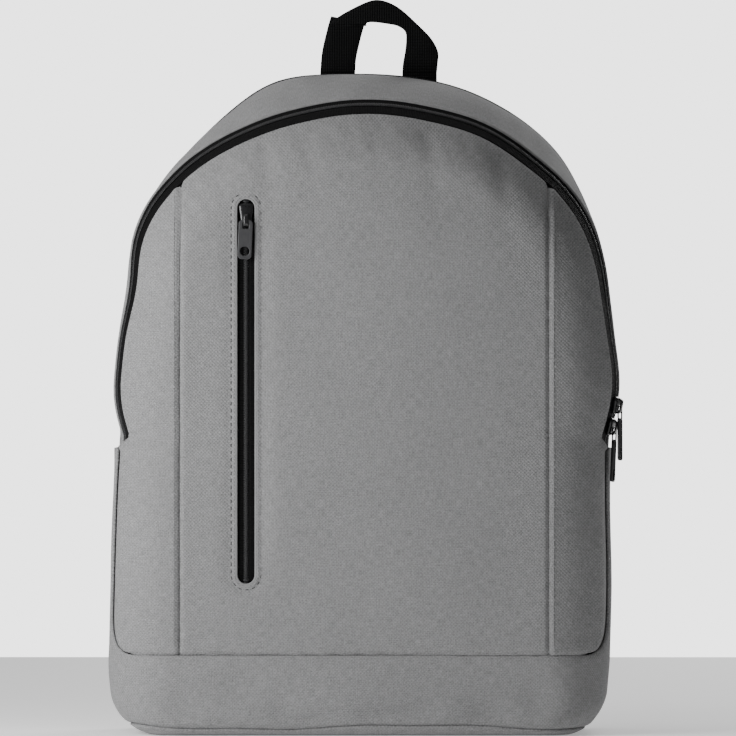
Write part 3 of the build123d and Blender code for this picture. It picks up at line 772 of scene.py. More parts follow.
lip_path, _ = on_front(*grown(outline, 0.15).T, lift=-0.35)
lip = merge("pocket_window_lip", [wire(lip_path, 0.85, closed=True, sides=8)])
fit(lip, grey_cloth, "fold")
dots_path, dots_up = on_front(*evenly(grown(outline, 3.4), 1.0, closed=True).T, lift=-0.25)
dots = merge("pocket_window_stitches", [stitch_row(dots_path, dots_up, pitch=4.4, length=1.7, radius=0.34)])
fit(dots, black_thread, "fold")

# ---------------------------------------------------------------- side strips of the front

for side, name, seam in ((1, "right", SEAM_RIGHT), (-1, "left", -SEAM_LEFT)):
    part = RIM[(Q > 20) & (Q < 70)] if side > 0 else RIM[(Q > 110) & (Q < 160)][::-1]
    tip = float(np.interp(-(seam + 0.15), -np.abs(part[:, 0]), part[:, 2]))
    rows = np.concatenate([PANEL_LOW + close, steps(PANEL_LOW + 4, 84, 1.8), steps(87, tip - 6, 2.8),
            tip - close[::-1] * 1.2])
    flat = half_width(np.full_like(rows, 100.0), side) - CORNER
    drop = np.clip(PANEL_LOW + STRIP_ROUND - rows, 0, STRIP_ROUND)
    short = STRIP_ROUND - np.sqrt(np.maximum(STRIP_ROUND ** 2 - drop ** 2, 0))
    turned = math.radians(SIDE_TURN) - short / CORNER
    end = np.where(short > 0, rim_at(rows, side) - CORNER
            * (math.sin(math.radians(SIDE_TURN)) - np.sin(turned)), rim_at(rows, side))
    spread = np.concatenate([[0, 0.02, 0.045, 0.08], np.linspace(0.13, 0.93, int(14 * FINE) + 3),
            [0.965, 0.985, 1]])
    spread = np.sin(spread * math.radians(80)) / math.sin(math.radians(80))
    X = side * (seam + (end[None] - seam) * spread[:, None])
    Z = np.repeat(rows[None], len(spread), axis=0)
    rim = np.abs(np.abs(X) - end[None])
    relief = front_relief(X, Z) + groove(np.abs(X) - seam, Z - PANEL_LOW)
    relief = relief + np.where(Z > JOIN_Z, 0.8 * (1 - smooth(rim / 5)), groove(rim, deep=1.0))
    relief = relief + 0.5 * np.exp(-((np.abs(X) - seam - 3.2) / 1.6) ** 2)
    points = np.stack([X, front_y(X, Z), Z], -1)
    made = slab(f"{name}_strip_cloth", points, FORWARD, uv=np.stack([X, Z], -1), relief=relief)
    fit(made, grey_cloth, "fold", f"{name}_front_strip", f"{name}_flap_strip")
    line_z = np.arange(PANEL_LOW + 4, tip - 5, 1.5)
    row, up = on_front(np.full_like(line_z, side * (seam + 3.2)), line_z, 0.55)
    made = merge(f"{name}_strip_stitches", [stitch_row(row, up)])
    fit(made, thread, "fold")

# ---------------------------------------------------------------- gusset round the zip

def gusset_points(q, d):
    """The cloth between the zip (d = 0) and the back edge (d = 1)."""
    start = zip_point(q, np.full_like(q, -TAPE_REAR))
    a = np.clip(q, ARCH_LOW, ARCH_HIGH)
    middle, out, _ = zip_frame(q)
    end = middle + out * (soft_table(a, BACK_ARCH) - ZIP_R - soft_table(a, ZIP_STRAY))[..., None]
    tail = smooth((np.abs(q - 90) - 99) / 11)
    side_x = np.where(q < 90, half_width(end[..., 2], 1), -half_width(end[..., 2], -1))
    end = np.stack([mix(end[..., 0], side_x, tail), np.full_like(q, BACK_FRONT), end[..., 2]], -1)
    rise = np.sin(d * math.pi / 2)
    flat = mix(start, end, rise[..., None])
    y = mix(start[..., 1], end[..., 1], d)
    return np.stack([flat[..., 0], y, flat[..., 2]], -1) + out * (1.6 * np.sin(math.pi * d))[..., None]


q = np.concatenate([[Q[0], Q[0] + 0.25, Q[0] + 0.6], np.linspace(Q[0] + 1, Q[-1] - 1, int(220 * FINE)),
        [Q[-1] - 0.6, Q[-1] - 0.25, Q[-1]]])
d = np.concatenate([[0, 0.012, 0.03, 0.055], np.linspace(0.09, 0.93, int(26 * FINE)), [0.96, 0.98, 1]])
QQ, DD = np.meshgrid(q, d, indexing="ij")
points = gusset_points(QQ, DD)
ease = np.sin(math.pi * np.clip(DD, 0, 1))
folds = np.sin(0.36 * QQ + 1.9 * np.sin(0.13 * QQ) + 2.5 * DD)
relief = 1.2 * lumps(points, 42.0, 5.0) * ease + 0.7 * folds * np.exp(-DD * 5) * smooth(DD / 0.09)
for at, wide, deep in ((49, 3.0, 2.0), (56, 2.2, 1.6), (63, 3.2, 1.8), (118, 3.5, 1.8), (128, 2.6, 1.3),
        (104, 3, 1.2), (32, 3, 1.5), (150, 3, 1.6)):
    relief = relief - deep * np.exp(-((QQ - at - 5 * DD) / wide) ** 2) * np.exp(-((DD - 0.16)
            / 0.3) ** 2) * smooth(DD / 0.07)
relief = relief + groove((1 - DD) * 98, deep=0.9) + 0.7 * (1 - smooth(DD * 98 / 4))
made = slab("top_gusset_cloth", points, points - CORE, relief=relief, uv=np.stack([QQ * 2.8, DD * 96], -1))
fit(made, grey_cloth, "bag", "top_gusset")

# ---------------------------------------------------------------- lower gusset: down one side, under the front, up the other

def u_path(side):
    """Inner and outer edges of the lower gusset, unrolled, from the zip's end to the middle of the front."""
    seam, back = seam_run(side)
    drop = steps(0, JOIN_Z - PANEL_LOW - STRIP_ROUND, 2.8)
    inner = [np.stack([np.full_like(drop, seam), JOIN_Z - drop], 1)]
    outer = [np.stack([np.full_like(drop, back), JOIN_Z - drop], 1)]
    centre = np.array([seam - STRIP_ROUND, PANEL_LOW + STRIP_ROUND])
    corner = math.atan2(centre[1] - BASE_Z, back - centre[0])
    turn = np.unique(np.concatenate([np.linspace(0, math.pi / 2, 30)[1:-1], [corner]]))
    way = np.stack([np.cos(turn), -np.sin(turn)], 1)
    reach = np.minimum((back - centre[0]) / np.maximum(way[:, 0], 1e-9),
            (centre[1] - BASE_Z) / np.maximum(-way[:, 1], 1e-9))
    inner.append(centre + way * STRIP_ROUND)
    outer.append(centre + way * reach[:, None])
    along = steps(0, seam - STRIP_ROUND, 2.8)[::-1]
    inner.append(np.stack([along, np.full_like(along, PANEL_LOW)], 1))
    outer.append(np.stack([along, np.full_like(along, BASE_Z)], 1))
    inner, outer = np.concatenate(inner), np.concatenate(outer)
    at_base = smooth((BASE_Z + 20 - outer[:, 1]) / 20)
    outer[:, 1] += at_base * (base_seam(side * outer[:, 0]) - BASE_Z)
    return inner, outer


def lower_relief(points, unrolled_z, s):
    """Soft folds of the band under the front."""
    total = 1.5 * lumps(points, 48.0,
            2.0) * smooth((JOIN_Z - unrolled_z) / 20) + 1.1 * smooth((unrolled_z - 150) / 30)
    for at, z, wide, high, deep in ((-29, 9, 17, 7, 3.4), (6, 12, 15, 6, 3.0), (32, 15, 15, 6, 2.6),
            (76, 14, 15, 8, 2.8),
                                    (-80, 32, 19, 9, 2.4), (110, 22, 14, 12, 2.2), (-118, 18, 14, 12, 2.2),
                                    (-52, 18, 10, 9, 1.6)):
        total = total - deep * np.exp(-((s - at) / wide) ** 2 - ((unrolled_z - z) / high) ** 2)
    return total


halves = []
d = np.concatenate([[0, 0.02, 0.05, 0.09], np.linspace(0.14, 0.9, int(18 * FINE)), [0.94, 0.97, 1]])
for side in (1, -1):
    inner, outer = u_path(side)
    cells = inner[:, None] + (outer - inner)[:, None] * d[None, :, None]
    placed, _ = tub_point(cells[..., 0], cells[..., 1], side)
    width = np.linalg.norm(outer - inner, axis=1)[:, None]
    bend = lower_relief(placed, cells[..., 1], side * cells[..., 0])
    bend = bend * smooth(d / 0.25)[None] * smooth((1 - d) / 0.15)[None] + groove(d[None] * width,
            (1 - d[None]) * width, deep=1.1)
    cloth_uv = np.stack([side * cells[..., 0], cells[..., 1]], -1)
    halves.append((placed, bend, cloth_uv))
joined = [np.concatenate([halves[0][k], halves[1][k][::-1][1:]]) for k in range(3)]
away = joined[0] - np.array([0.0, 0.0, 60.0])
made = slab("lower_gusset_cloth", joined[0], away, relief=joined[1], uv=joined[2])
fit(made, grey_cloth, "bag", "base_band", "left_side_panel", "right_side_panel")

# ---------------------------------------------------------------- bottom

rounds = []
seam, back = seam_run(1)
for z, shrink in ((0.97, 0), (0.7, 0), (0.4, 0), (0.18, 0), (0.05, 0), (0.0, 0), (0.0, 0.04), (0.0, 0.12),
        (0.0, 0.3),
                  (0.0, 0.5), (0.0, 0.7), (0.0, 0.9), (0.0, 0.985)):
    s = steps(0, back, 3.2)
    right, _ = tub_point(s, z * base_seam(s), 1)
    s = steps(0, seam_run(-1)[1], 3.2)
    left, _ = tub_point(s, z * base_seam(-s), -1)
    rear_x = np.linspace(right[-1, 0], left[-1, 0], 60)[1:-1]
    rear = np.stack([rear_x, np.full(58, BACK_FRONT + 1), np.full(58, z * BASE_Z)], 1)
    loop = np.concatenate([right, rear, left[::-1][:-1]])
    centre = np.array([0.0, -4.0, 0.0])
    rounds.append(centre + (loop - centre) * (1 - shrink) * (1, 1, shrink == 0))
made = slab("bottom_cloth", np.array(rounds), np.array([0.0, 0.0, -1.0]), ring=True,
            uv=np.array(rounds)[..., :2])
fit(made, grey_cloth, "bag", "bottom_panel")

# ---------------------------------------------------------------- main zip

def zip_band(name, q, low, high, lift, thickness, material, body, *nodes):
    """Zip tape between two distances from the zip's middle."""
    across = np.linspace(low, high, 7)
    QQ, AA = np.meshgrid(q, across, indexing="ij")
    points = zip_point(QQ, AA, np.full_like(QQ, lift))
    run = along_path(zip_point(q, np.zeros_like(q)))
    uv = np.stack([np.repeat(run[:, None], 7, axis=1), AA], -1)
    made = slab(name, points, zip_face(QQ), thickness, uv=uv)
    return fit(made, material, body, *nodes)


tape_q = np.linspace(Q[0], Q[-1], int(420 * FINE))
zip_band("zip_rear_tape", tape_q, -TAPE_REAR - 1.2, -0.15, -0.5, 0.7, tape_cloth, "bag", "main_zip_rear_tape")
zip_band("zip_front_tape", tape_q, 0.15, TAPE_FRONT + 1.5, -0.5, 0.7, tape_cloth, "fold",
        "main_zip_front_tape", "main_zip_tape_ends")
zip_band("zip_front_ridge", tape_q, 2.6, TAPE_FRONT - 1.4, 0.25, 0.8, tape_cloth, "fold")

arc = along_path(zip_point(Q, np.zeros_like(Q)))
teeth_q = np.interp(np.arange(1.5, arc[-1] - 1.5, 1.08), arc, Q)
for sign, name, body, nodes in ((-1, "rear", "bag", ("main_zip_rear_coil",)),
                                (1, "front", "fold", ("main_zip_front_coil", "main_zip_coil_ends"))):
    phase = 0.0 if sign > 0 else 0.0011 * 90
    q = teeth_q + phase
    inner = zip_point(q, np.full_like(q, -0.15 * sign), np.full_like(q, 0.35))
    outer = zip_point(q, np.full_like(q, 1.25 * sign), np.full_like(q, 0.2))
    core = zip_point(tape_q, np.full_like(tape_q, 0.75 * sign), np.full_like(tape_q, -0.1))
    pieces = [capsules(inner, outer, zip_face(q), 0.38, 0.9), wire(core, 0.5, sides=6)]
    fit(merge(f"zip_{name}_coil", pieces), coil_plastic, body, *nodes)

low, high = node_box("main_zip_end_stops")
stops = []
for side_q in (Q[0] + 0.45, Q[-1] - 0.45):
    ends = zip_point(np.array([side_q, side_q]), np.array([-1.7, 1.7]), np.array([0.5, 0.5]))
    stops.append(capsules(ends[:1], ends[1:], zip_face(np.array([side_q])), 0.8, 0.8, sides=10))
fit(merge("zip_end_stops", stops), dark_metal, "bag", "main_zip_end_stops")

# ---------------------------------------------------------------- pocket zip and pocket lining

tape_y = FRONT_Y + 2.0
for name, low_x, high_x in (("left", WINDOW_X - 8.4, WINDOW_X - 0.2),
        ("right", WINDOW_X + 0.2, WINDOW_X + 8.4)):
    xs = np.linspace(low_x, high_x, 8)
    zs = np.linspace(WINDOW_LOW - 5, WINDOW_HIGH + 5, 160)
    XX, ZZ = np.meshgrid(xs, zs, indexing="ij")
    swell = 0.35 * np.exp(-((np.abs(XX - WINDOW_X) - 3.2) / 1.3) ** 2)
    points = np.stack([XX, tape_y - swell, ZZ], -1)
    made = slab(f"pocket_zip_{name}_tape", points, FORWARD, 0.8, uv=np.stack([ZZ, XX], -1))
    nodes = ("pocket_zip_tapes", "flap_pocket_zip_tapes") if name == "left" else ()
    fit(made, tape_cloth, "fold", *nodes)
teeth_z = np.arange(WINDOW_LOW - 3, WINDOW_HIGH + 3, 1.08)
flat_y = np.full_like(teeth_z, tape_y - 0.5)
teeth = []
for sign in (-1, 1):
    z = teeth_z + (0.54 if sign > 0 else 0)
    starts = np.stack([np.full_like(z, WINDOW_X - 0.3 * sign), flat_y, z], 1)
    ends = np.stack([np.full_like(z, WINDOW_X + 1.3 * sign), flat_y + 0.1, z], 1)
    teeth.append(capsules(starts, ends, FORWARD[None], 0.4, 0.9))
fit(merge("pocket_zip_teeth", teeth), coil_plastic, "fold", "pocket_zip_coil", "flap_pocket_zip_coil")
for node, body in (("pocket_zip_lower_stop", "bag"), ("pocket_zip_upper_stop", "front_flap")):
    low, high = node_box(node)
    mid = (low + high) / 2
    starts = np.array([[low[0] + 0.5, mid[1] + 0.2, mid[2]]])
    ends = np.array([[high[0] - 0.5, mid[1] + 0.2, mid[2]]])
    fit(merge(node + "_clip", [capsules(starts, ends, FORWARD[None], 0.62, 0.8, sides=10)]), dark_metal,
            body, node)

for node, body in (("pocket_bag", "bag"), ("flap_pocket_bag", "front_flap")):
    low, high = node_box(node)
    if node == "pocket_bag":
        xs, zs = steps(low[0] + 0.6, high[0] - 0.6, 4), steps(low[2] + 0.6, high[2] - 0.2, 4)
        XX, ZZ = np.meshgrid(xs, zs, indexing="ij")
    else:
        xs = steps(low[0] + 3, high[0] - 3, 4)
        reach = np.sqrt(np.maximum(129.0 ** 2 - xs ** 2, 0)) + ZIP_Z
        share = np.linspace(0, 1, 34)
        XX = np.repeat(xs[:, None], 34, axis=1)
        ZZ = low[2] + 0.2 + (np.minimum(reach, high[2] - 1.5)[:, None] - low[2] - 0.2) * share[None]
    rear = np.full_like(XX, high[1] - 0.1)
    dent = 0.9 * lumps(np.stack([XX, ZZ], -1), 37.0, 12.0) - 0.7
    points = np.stack([XX, rear + dent * 0.4, ZZ], -1)
    made = slab(node + "_lining", points, -FORWARD, 0.8, uv=np.stack([XX, ZZ], -1))
    fit(made, lining_cloth, body, node)

# ---------------------------------------------------------------- sliders, bails and pulls

def slider_shape(name, origin, along, across, out, length, wide, body, node, bridge_low=None,
        bridge_high=None):
    """A coil slider's outer body: a waisted shield with a raised bridge that holds the pull. along is its nose."""
    h = length / 2
    shield = [(-h, wide * 0.20, 0.9, 1.9), (-h + 0.25, wide * 0.30, 0.5, 2.4),
            (-h + 0.9, wide * 0.36, 0.35, 2.9),
              (-h * 0.45, wide * 0.38, 0.3, 3.15), (0, wide * 0.42, 0.3, 3.2),
              (h * 0.45, wide * 0.485, 0.3, 3.1),
              (h * 0.75, wide * 0.5, 0.35, 2.9), (h - 0.8, wide * 0.46, 0.4, 2.6),
              (h - 0.25, wide * 0.36, 0.6, 2.2), (h, wide * 0.22, 0.9, 1.8)]
    turn = np.linspace(0, 2 * math.pi, 28, endpoint=False)
    c, s = np.cos(turn), np.sin(turn)
    rings = []
    for w, half, low, high in shield:
        px = np.sign(c) * np.abs(c) ** 0.5 * half
        pz = (low + high) / 2 + np.sign(s) * np.abs(s) ** 0.65 * (high - low) / 2
        rings.append(origin + along * w + px[:, None] * across + pz[:, None] * out)
    low = -4.6 if bridge_low is None else bridge_low
    high = 4.6 if bridge_high is None else bridge_high
    middle, span = (low + high) / 2, (high - low) / 2
    bridge = curve_through([origin + along * (middle + span * w) + out * n for w, n in
                            ((-1, 2.2), (-0.93, 4.0), (-0.72, 5.1), (0, 5.3), (0.72, 5.1), (0.93, 4.0),
                                    (1, 2.2))], 0.5)
    tangents = np.gradient(bridge, axis=0)
    tangents /= np.linalg.norm(tangents, axis=1, keepdims=True)
    face = np.cross(tangents, across)
    face *= np.sign(np.sum(face * out, axis=1, keepdims=True) + 1e-9)
    band, _ = strip(bridge, across, face, 2.7, 1.0)
    return fit(merge(name, [swept(np.array(rings)), band]), slider_paint, body, node)


def plate(name, outline, holes, thickness, bevel, axes, origin, material, body, *nodes):
    """A flat bevelled plate with holes, cut in a local plane (across, along) and laid at origin."""
    curve = bpy.data.curves.new(name, "CURVE")
    curve.dimensions = "2D"
    curve.fill_mode = "BOTH"
    curve.extrude = (thickness / 2 - bevel) * MM
    curve.bevel_depth = bevel * MM
    curve.bevel_resolution = 3
    for ring, inset in [(outline, bevel)] + [(hole, -bevel) for hole in holes]:
        ring = np.asarray(ring, float)
        centre = ring.mean(axis=0)
        away = ring - centre
        ring = centre + away * (1 - inset / np.maximum(np.linalg.norm(away, axis=1, keepdims=True), 1e-6))
        spline = curve.splines.new("POLY")
        spline.points.add(len(ring) - 1)
        spline.points.foreach_set("co",
                np.concatenate([ring * MM, np.zeros((len(ring), 1)), np.ones((len(ring), 1))], 1).ravel())
        spline.use_cyclic_u = True
    holder = bpy.data.objects.new(name + "_curve", curve)
    bpy.context.scene.collection.objects.link(holder)
    mesh = bpy.data.meshes.new_from_object(holder.evaluated_get(bpy.context.evaluated_depsgraph_get()))
    bpy.data.objects.remove(holder)
    bpy.data.curves.remove(curve)
    across, along, out = axes
    turned = Matrix([[across[k], along[k], out[k], origin[k] * MM] for k in range(3)] + [[0, 0, 0, 1]])
    mesh.transform(turned)
    mesh.name = name
    obj = bpy.data.objects.new(name, mesh)
    bpy.context.scene.collection.objects.link(obj)
    outward_faces(obj)
    mesh.polygons.foreach_set("use_smooth", np.zeros(len(mesh.polygons), bool))
    return fit(obj, material, body, *nodes)


def rounded(wide, low, high, radius, points=7):
    """A rounded rectangle from low to high along the second axis."""
    ring = []
    for cx, cy, start in ((wide / 2 - radius, high - radius, 0), (-wide / 2 + radius, high - radius, 90),
                          (-wide / 2 + radius, low + radius, 180), (wide / 2 - radius, low + radius, 270)):
        for a in np.radians(np.linspace(start, start + 90, points)):
            ring.append((cx + radius * math.cos(a), cy + radius * math.sin(a)))
    return np.array(ring)


def circle(cx, cy, radius, count=28):
    a = np.linspace(0, 2 * math.pi, count, endpoint=False)
    return np.stack([cx + radius * np.cos(a), cy + radius * np.sin(a)], 1)


def unit(v):
    v = np.asarray(v, float)
    return v / np.linalg.norm(v)


LEAN_CAD = 24.0
for which in ("upper", "lower"):
    bail_at, pull_at = at_joint(f"{which}_bail_swing"), at_joint(f"{which}_pull_swing")
    pivot = unit(joints[f"{which}_bail_swing"]["axis"])
    a = math.atan2(bail_at[2] - ZIP_Z, bail_at[0])
    radial = np.array([math.cos(a), 0, math.sin(a)])
    run = np.array([-math.sin(a), 0, math.cos(a)])
    lean = math.radians(LEAN_CAD)
    out = unit(radial * math.cos(lean) + FORWARD * math.sin(lean))
    across = unit(FORWARD * math.cos(lean) - radial * math.sin(lean))
    origin = np.array([ZIP_R * radial[0], ZIP_Y, ZIP_Z + ZIP_R * radial[2]])
    slider_shape(f"{which}_slider_body", origin, run, across, out, 11.0, 9.0, f"{which}_slider",
            f"{which}_slider")
    hang = unit(pull_at - bail_at)
    long = np.linalg.norm(pull_at - bail_at)
    half = 2.95
    corner = 1.3
    loop = []
    for cx, cz, start in ((half - corner, corner, -90), (half - corner, long - corner, 0),
            (-half + corner, long - corner, 90), (-half + corner, corner, 180)):
        for t in np.radians(np.linspace(start, start + 90, 7)):
            loop.append(bail_at + pivot * (cx + corner * math.cos(t)) + hang * (cz + corner * math.sin(t)))
    fit(merge(f"{which}_bail_wire", [wire(evenly(loop, 0.5, closed=True), 0.5, closed=True)]), dark_metal,
            f"{which}_bail", f"{which}_slider_bail")
    normal = unit(np.cross(pivot, hang))
    outline = rounded(5.6, -0.9, 26.0, 1.7)
    slot = rounded(2.4, 26.0 - 8.1, 26.0 - 1.1, 1.15)
    plate(f"{which}_pull_tab", outline, [slot], 1.4, 0.3, (pivot, hang, normal), pull_at, pull_metal,
            f"{which}_pull", f"{which}_slider_pull")
    knuckle = [pull_at - pivot * 1.5, pull_at - pivot * 1.1, pull_at + pivot * 1.1, pull_at + pivot * 1.5]
    fit(merge(f"{which}_pull_knuckle", [wire(knuckle, 0.8, sides=16)]), pull_metal, f"{which}_pull")

pull_at = at_joint("pocket_pull_swing")
low, high = node_box("pocket_slider")
origin = np.array([WINDOW_X, FRONT_Y + 2.0, (low[2] + high[2]) / 2])
slider_shape("pocket_slider_body", origin, np.array([0, 0, 1.0]), np.array([-1.0, 0, 0]), FORWARD,
        high[2] - low[2], 9.0, "pocket_slider", "pocket_slider",
             bridge_low=-(high[2] - low[2]) / 2 + 0.9, bridge_high=0.5)
lean = math.radians(2.5)
hang = np.array([-math.sin(lean), 0, -math.cos(lean)])
pivot = np.array([math.cos(lean), 0, -math.sin(lean)])
low, high = node_box("pocket_slider_pull")
long = (high[2] - low[2]) - 0.6
tab = rounded(8.4, -0.7, long - 0.9, 2.4)
eye = rounded(4.2, 0.7, 5.0, 0.9)
hole = circle(0, long - 6.0, 3.0, 36)
plate("pocket_pull_tab", tab, [eye, hole], 1.5, 0.4, (pivot, hang, unit(np.cross(pivot, hang))), pull_at,
        pocket_metal, "pocket_pull", "pocket_slider_pull")

# ---------------------------------------------------------------- grab handle

hinge = at_joint("grab_handle_fold")
low, high = node_box("grab_handle")


def flat_path(edges):
    """Turn pairs of outer and inner edge points into a path, sideways directions and widths."""
    outer = curve_through([(x, yy, z) for (x, z), _, yy in [(e[0], e[1], e[2]) for e in edges]], 1.0)
    inner = curve_through([(x, yy, z) for (x, z), yy in [(e[1], e[2]) for e in edges]], 1.0)
    count = 90
    pick = lambda path: np.stack([np.interp(np.linspace(0, 1, count),
            along_path(path) / along_path(path)[-1], path[:, k]) for k in range(3)], 1)
    outer, inner = pick(outer), pick(inner)
    span = outer - inner
    width = np.linalg.norm(span, axis=1)
    return (outer + inner) / 2, span / width[:, None], width


start_z = hinge[2] - 0.1
mid_y = hinge[1]
GROW = 1.1
band = [((-24.0, 449.0), (-0.6, 449.4), mid_y - 2.6), ((-20.5, 452.6), (0.6, 450.6), mid_y - 2.9),
        ((-9.5, 458.6), (3.6, 450.9), mid_y - 2.6),
        ((3.2, 463.6), (7.6, 450.6), mid_y - 2.0), ((12.0, 463.2), (13.0, 449.9), mid_y - 1.4),
        ((21.6, 458.8), (20.0, 448.6), mid_y - 0.8),
        ((32.4, 450.0), (24.8, 445.4), mid_y - 0.3), ((41.5, 441.5), (25.4, 440.0), mid_y),
        ((46.0, 433.6), (24.6, 433.0), mid_y + 0.5),
        ((45.8, 427.0), (23.4, 427.0), mid_y - 0.6), ((45.2, start_z), (22.9, start_z), mid_y)]
band = [((a[0], start_z + (a[1] - start_z) * GROW), (b[0], start_z + (b[1] - start_z) * GROW), y) for a, b,
        y in band]
centre, sideways, width = flat_path(band)
tangent = np.gradient(centre, axis=0)
face = np.cross(sideways, tangent)
face /= np.linalg.norm(face, axis=1, keepdims=True)
face *= np.sign(-face[:, 1:2])
over = strip(centre, sideways, face, width, 1.9)[0]
hems = [wire([(x0, mid_y, hinge[2]), (x1, mid_y, hinge[2])], 0.95, sides=12) for x0,
        x1 in ((-29.6, -7.6), (23.1, 45.0))]
leg = np.array([(-18.6, mid_y, start_z), (-17.6, mid_y + 0.4, 432), (-14.6, mid_y + 0.2, 444),
        (-12.6, mid_y - 0.2, 450.5),
                (-11.8, mid_y - 1.4, 452.4)])
leg[:, 2] = start_z + (leg[:, 2] - start_z) * GROW
leg = curve_through(leg, 1.0)
tangent = unit(leg[-1] - leg[0])
leg_side = unit(np.cross([0, 1.0, 0], tangent))
level_side = np.array([np.sign(leg_side[0]), 0, 0])
leg_tilt = smooth(along_path(leg) / 12)[:, None]
leg_sides = level_side * (1 - leg_tilt) + leg_side * leg_tilt
leg_sides /= np.linalg.norm(leg_sides, axis=1, keepdims=True)
under = strip(leg, leg_sides, FORWARD, 22.4, 1.9)[0]
roll = np.array([(-24.2, mid_y - 2.0, 449.6), (-12, mid_y - 2.4, 449.3), (-0.2, mid_y - 2.0, 449.8)])
roll[:, 2] = start_z + (roll[:, 2] - start_z) * GROW
edge = wire(curve_through(roll, 1.0), 1.25, sides=10)
made = merge("grab_handle_webbing", [over, under, edge] + hems)
made.data.uv_layers.new(name="weave")
fit(made, webbing_cloth, "grab_handle", "grab_handle")


def lay_uv(obj, first, second):
    """Texture coordinates in real size from two directions in space."""
    layer = obj.data.uv_layers.get("weave") or obj.data.uv_layers.new(name="weave")
    co = np.zeros(len(obj.data.vertices) * 3)
    obj.data.vertices.foreach_get("co", co)
    co = co.reshape(-1, 3)
    loops = np.zeros(len(obj.data.loops), np.int32)
    obj.data.loops.foreach_get("vertex_index", loops)
    uv = np.stack([co @ np.array(first), co @ np.array(second)], 1)[loops]
    layer.data.foreach_set("uv", uv.ravel())
    return obj


lay_uv(made, (0, 0, 1.0), (1.0, 0, 0))

ANCHOR_LIFT = 1.1      # closes the slit under the handle's legs
low, high = node_box("handle_anchors")
anchors = []
for x0, x1 in ((-29.8, -7.4), (22.9, 45.2)):
    path = np.array([((x0 + x1) / 2, (low[1] + high[1]) / 2, z) for z in np.linspace(low[2],
            high[2] + ANCHOR_LIFT, 6)])
    anchors.append(strip(path, np.array([1.0, 0, 0]), FORWARD, x1 - x0, high[1] - low[1])[0])
made = merge("handle_anchor_webbing", anchors)
lay_uv(made, (0, 0, 1.0), (1.0, 0, 0))
fit(made, webbing_cloth, "bag", "handle_anchors")

# ---------------------------------------------------------------- back panel



def back_outline(count):
    """The back edge of the bag, once round, in x and z."""
    q = np.linspace(ARCH_LOW, ARCH_HIGH, count)
    r = soft_table(q, BACK_ARCH)
    arch = np.stack([r * np.cos(np.radians(q)), ZIP_Z + r * np.sin(np.radians(q))], 1)
    left_z = np.linspace(arch[-1, 1] - 5, 32, 34)
    left = np.stack([-half_width(left_z, -1), left_z], 1)
    right_z = np.linspace(32, arch[0, 1] - 5, 34)
    right = np.stack([half_width(right_z, 1), right_z], 1)
    turn = np.linspace(0, math.pi / 2, 14)[1:-1]
    reach = 26.0
    left_x, right_x = -half_width(np.array(32.0), -1), half_width(np.array(32.0), 1)
    left_turn = np.stack([left_x + reach * (1 - np.cos(turn)), 32 - reach * np.sin(turn)], 1)
    right_turn = np.stack([right_x - reach * (1 - np.cos(turn[::-1])), 32 - reach * np.sin(turn[::-1])], 1)
    low_x = np.linspace(left_x + reach, right_x - reach, 60)
    low = np.stack([low_x, np.full_like(low_x, 6.0)], 1)
    return evenly(np.concatenate([arch, left, left_turn, low, right_turn, right]), 3.0 / FINE, closed=True)


outline = back_outline(300)
middle = np.array([0.0, 225.0])
shrink = np.concatenate([[1.0, 0.995, 0.985, 0.97, 0.95], np.linspace(0.92, 0.02, int(60 * FINE)),
        [0.006, 0.0005]])
rings = middle + (outline - middle)[None] * shrink[:, None, None]
x, z = rings[..., 0], rings[..., 1]
outline_turn = np.arctan2(outline[:, 1] - middle[1], outline[:, 0] - middle[0])
outline_reach = np.linalg.norm(outline - middle, axis=1)
order = np.argsort(outline_turn)


def pad_y(x, z):
    """Height of the padded back: crowned, with one upright and three cross channels."""
    turn = np.arctan2(z - middle[1], x - middle[0])
    reach = np.interp(turn, outline_turn[order], outline_reach[order], period=2 * math.pi)
    edge = reach - np.hypot(x - middle[0], z - middle[1])
    crown = smooth(edge / 15)
    channel = np.exp(-(x / 7.0) ** 2) * smooth((z - 60) / 40) * smooth((370 - z) / 40)
    cross = sum(np.exp(-((z - at - 0.0009 * x ** 2) / 5.0) ** 2) for at in (118.0, 205.0,
            292.0)) * smooth((120 - np.abs(x)) / 30)
    soft = 0.5 * lumps(np.stack([x, z], -1), 30.0, 21.0) * crown
    height = BACK_FRONT + 3.6 + 4.6 * crown - 2.8 * np.clip(channel + cross, 0, 1) * crown + soft
    return height - 2.0 * (1 - smooth(edge / 2.5))


face_y = pad_y(x, z)
points = np.stack([x, face_y, z], -1)
made = slab("back_pad", points, -FORWARD, 5.0, uv=np.stack([x, z], -1), ring=True)
fit(made, mesh_cloth, "bag", "back_panel", "back_foam")
piping = np.stack([outline[:, 0], np.full(len(outline), BACK_FRONT + 1.2), outline[:, 1]], 1)
inward = middle - outline
inward /= np.linalg.norm(inward, axis=1, keepdims=True)
piping[:, [0, 2]] += inward * 0.6
made = merge("back_binding", [wire(piping, 1.9, closed=True, sides=12)])
lay_uv(made, (1.0, 0, 0), (0, 0, 1.0))
fit(made, binding_cloth, "bag")

# ---------------------------------------------------------------- shoulder straps

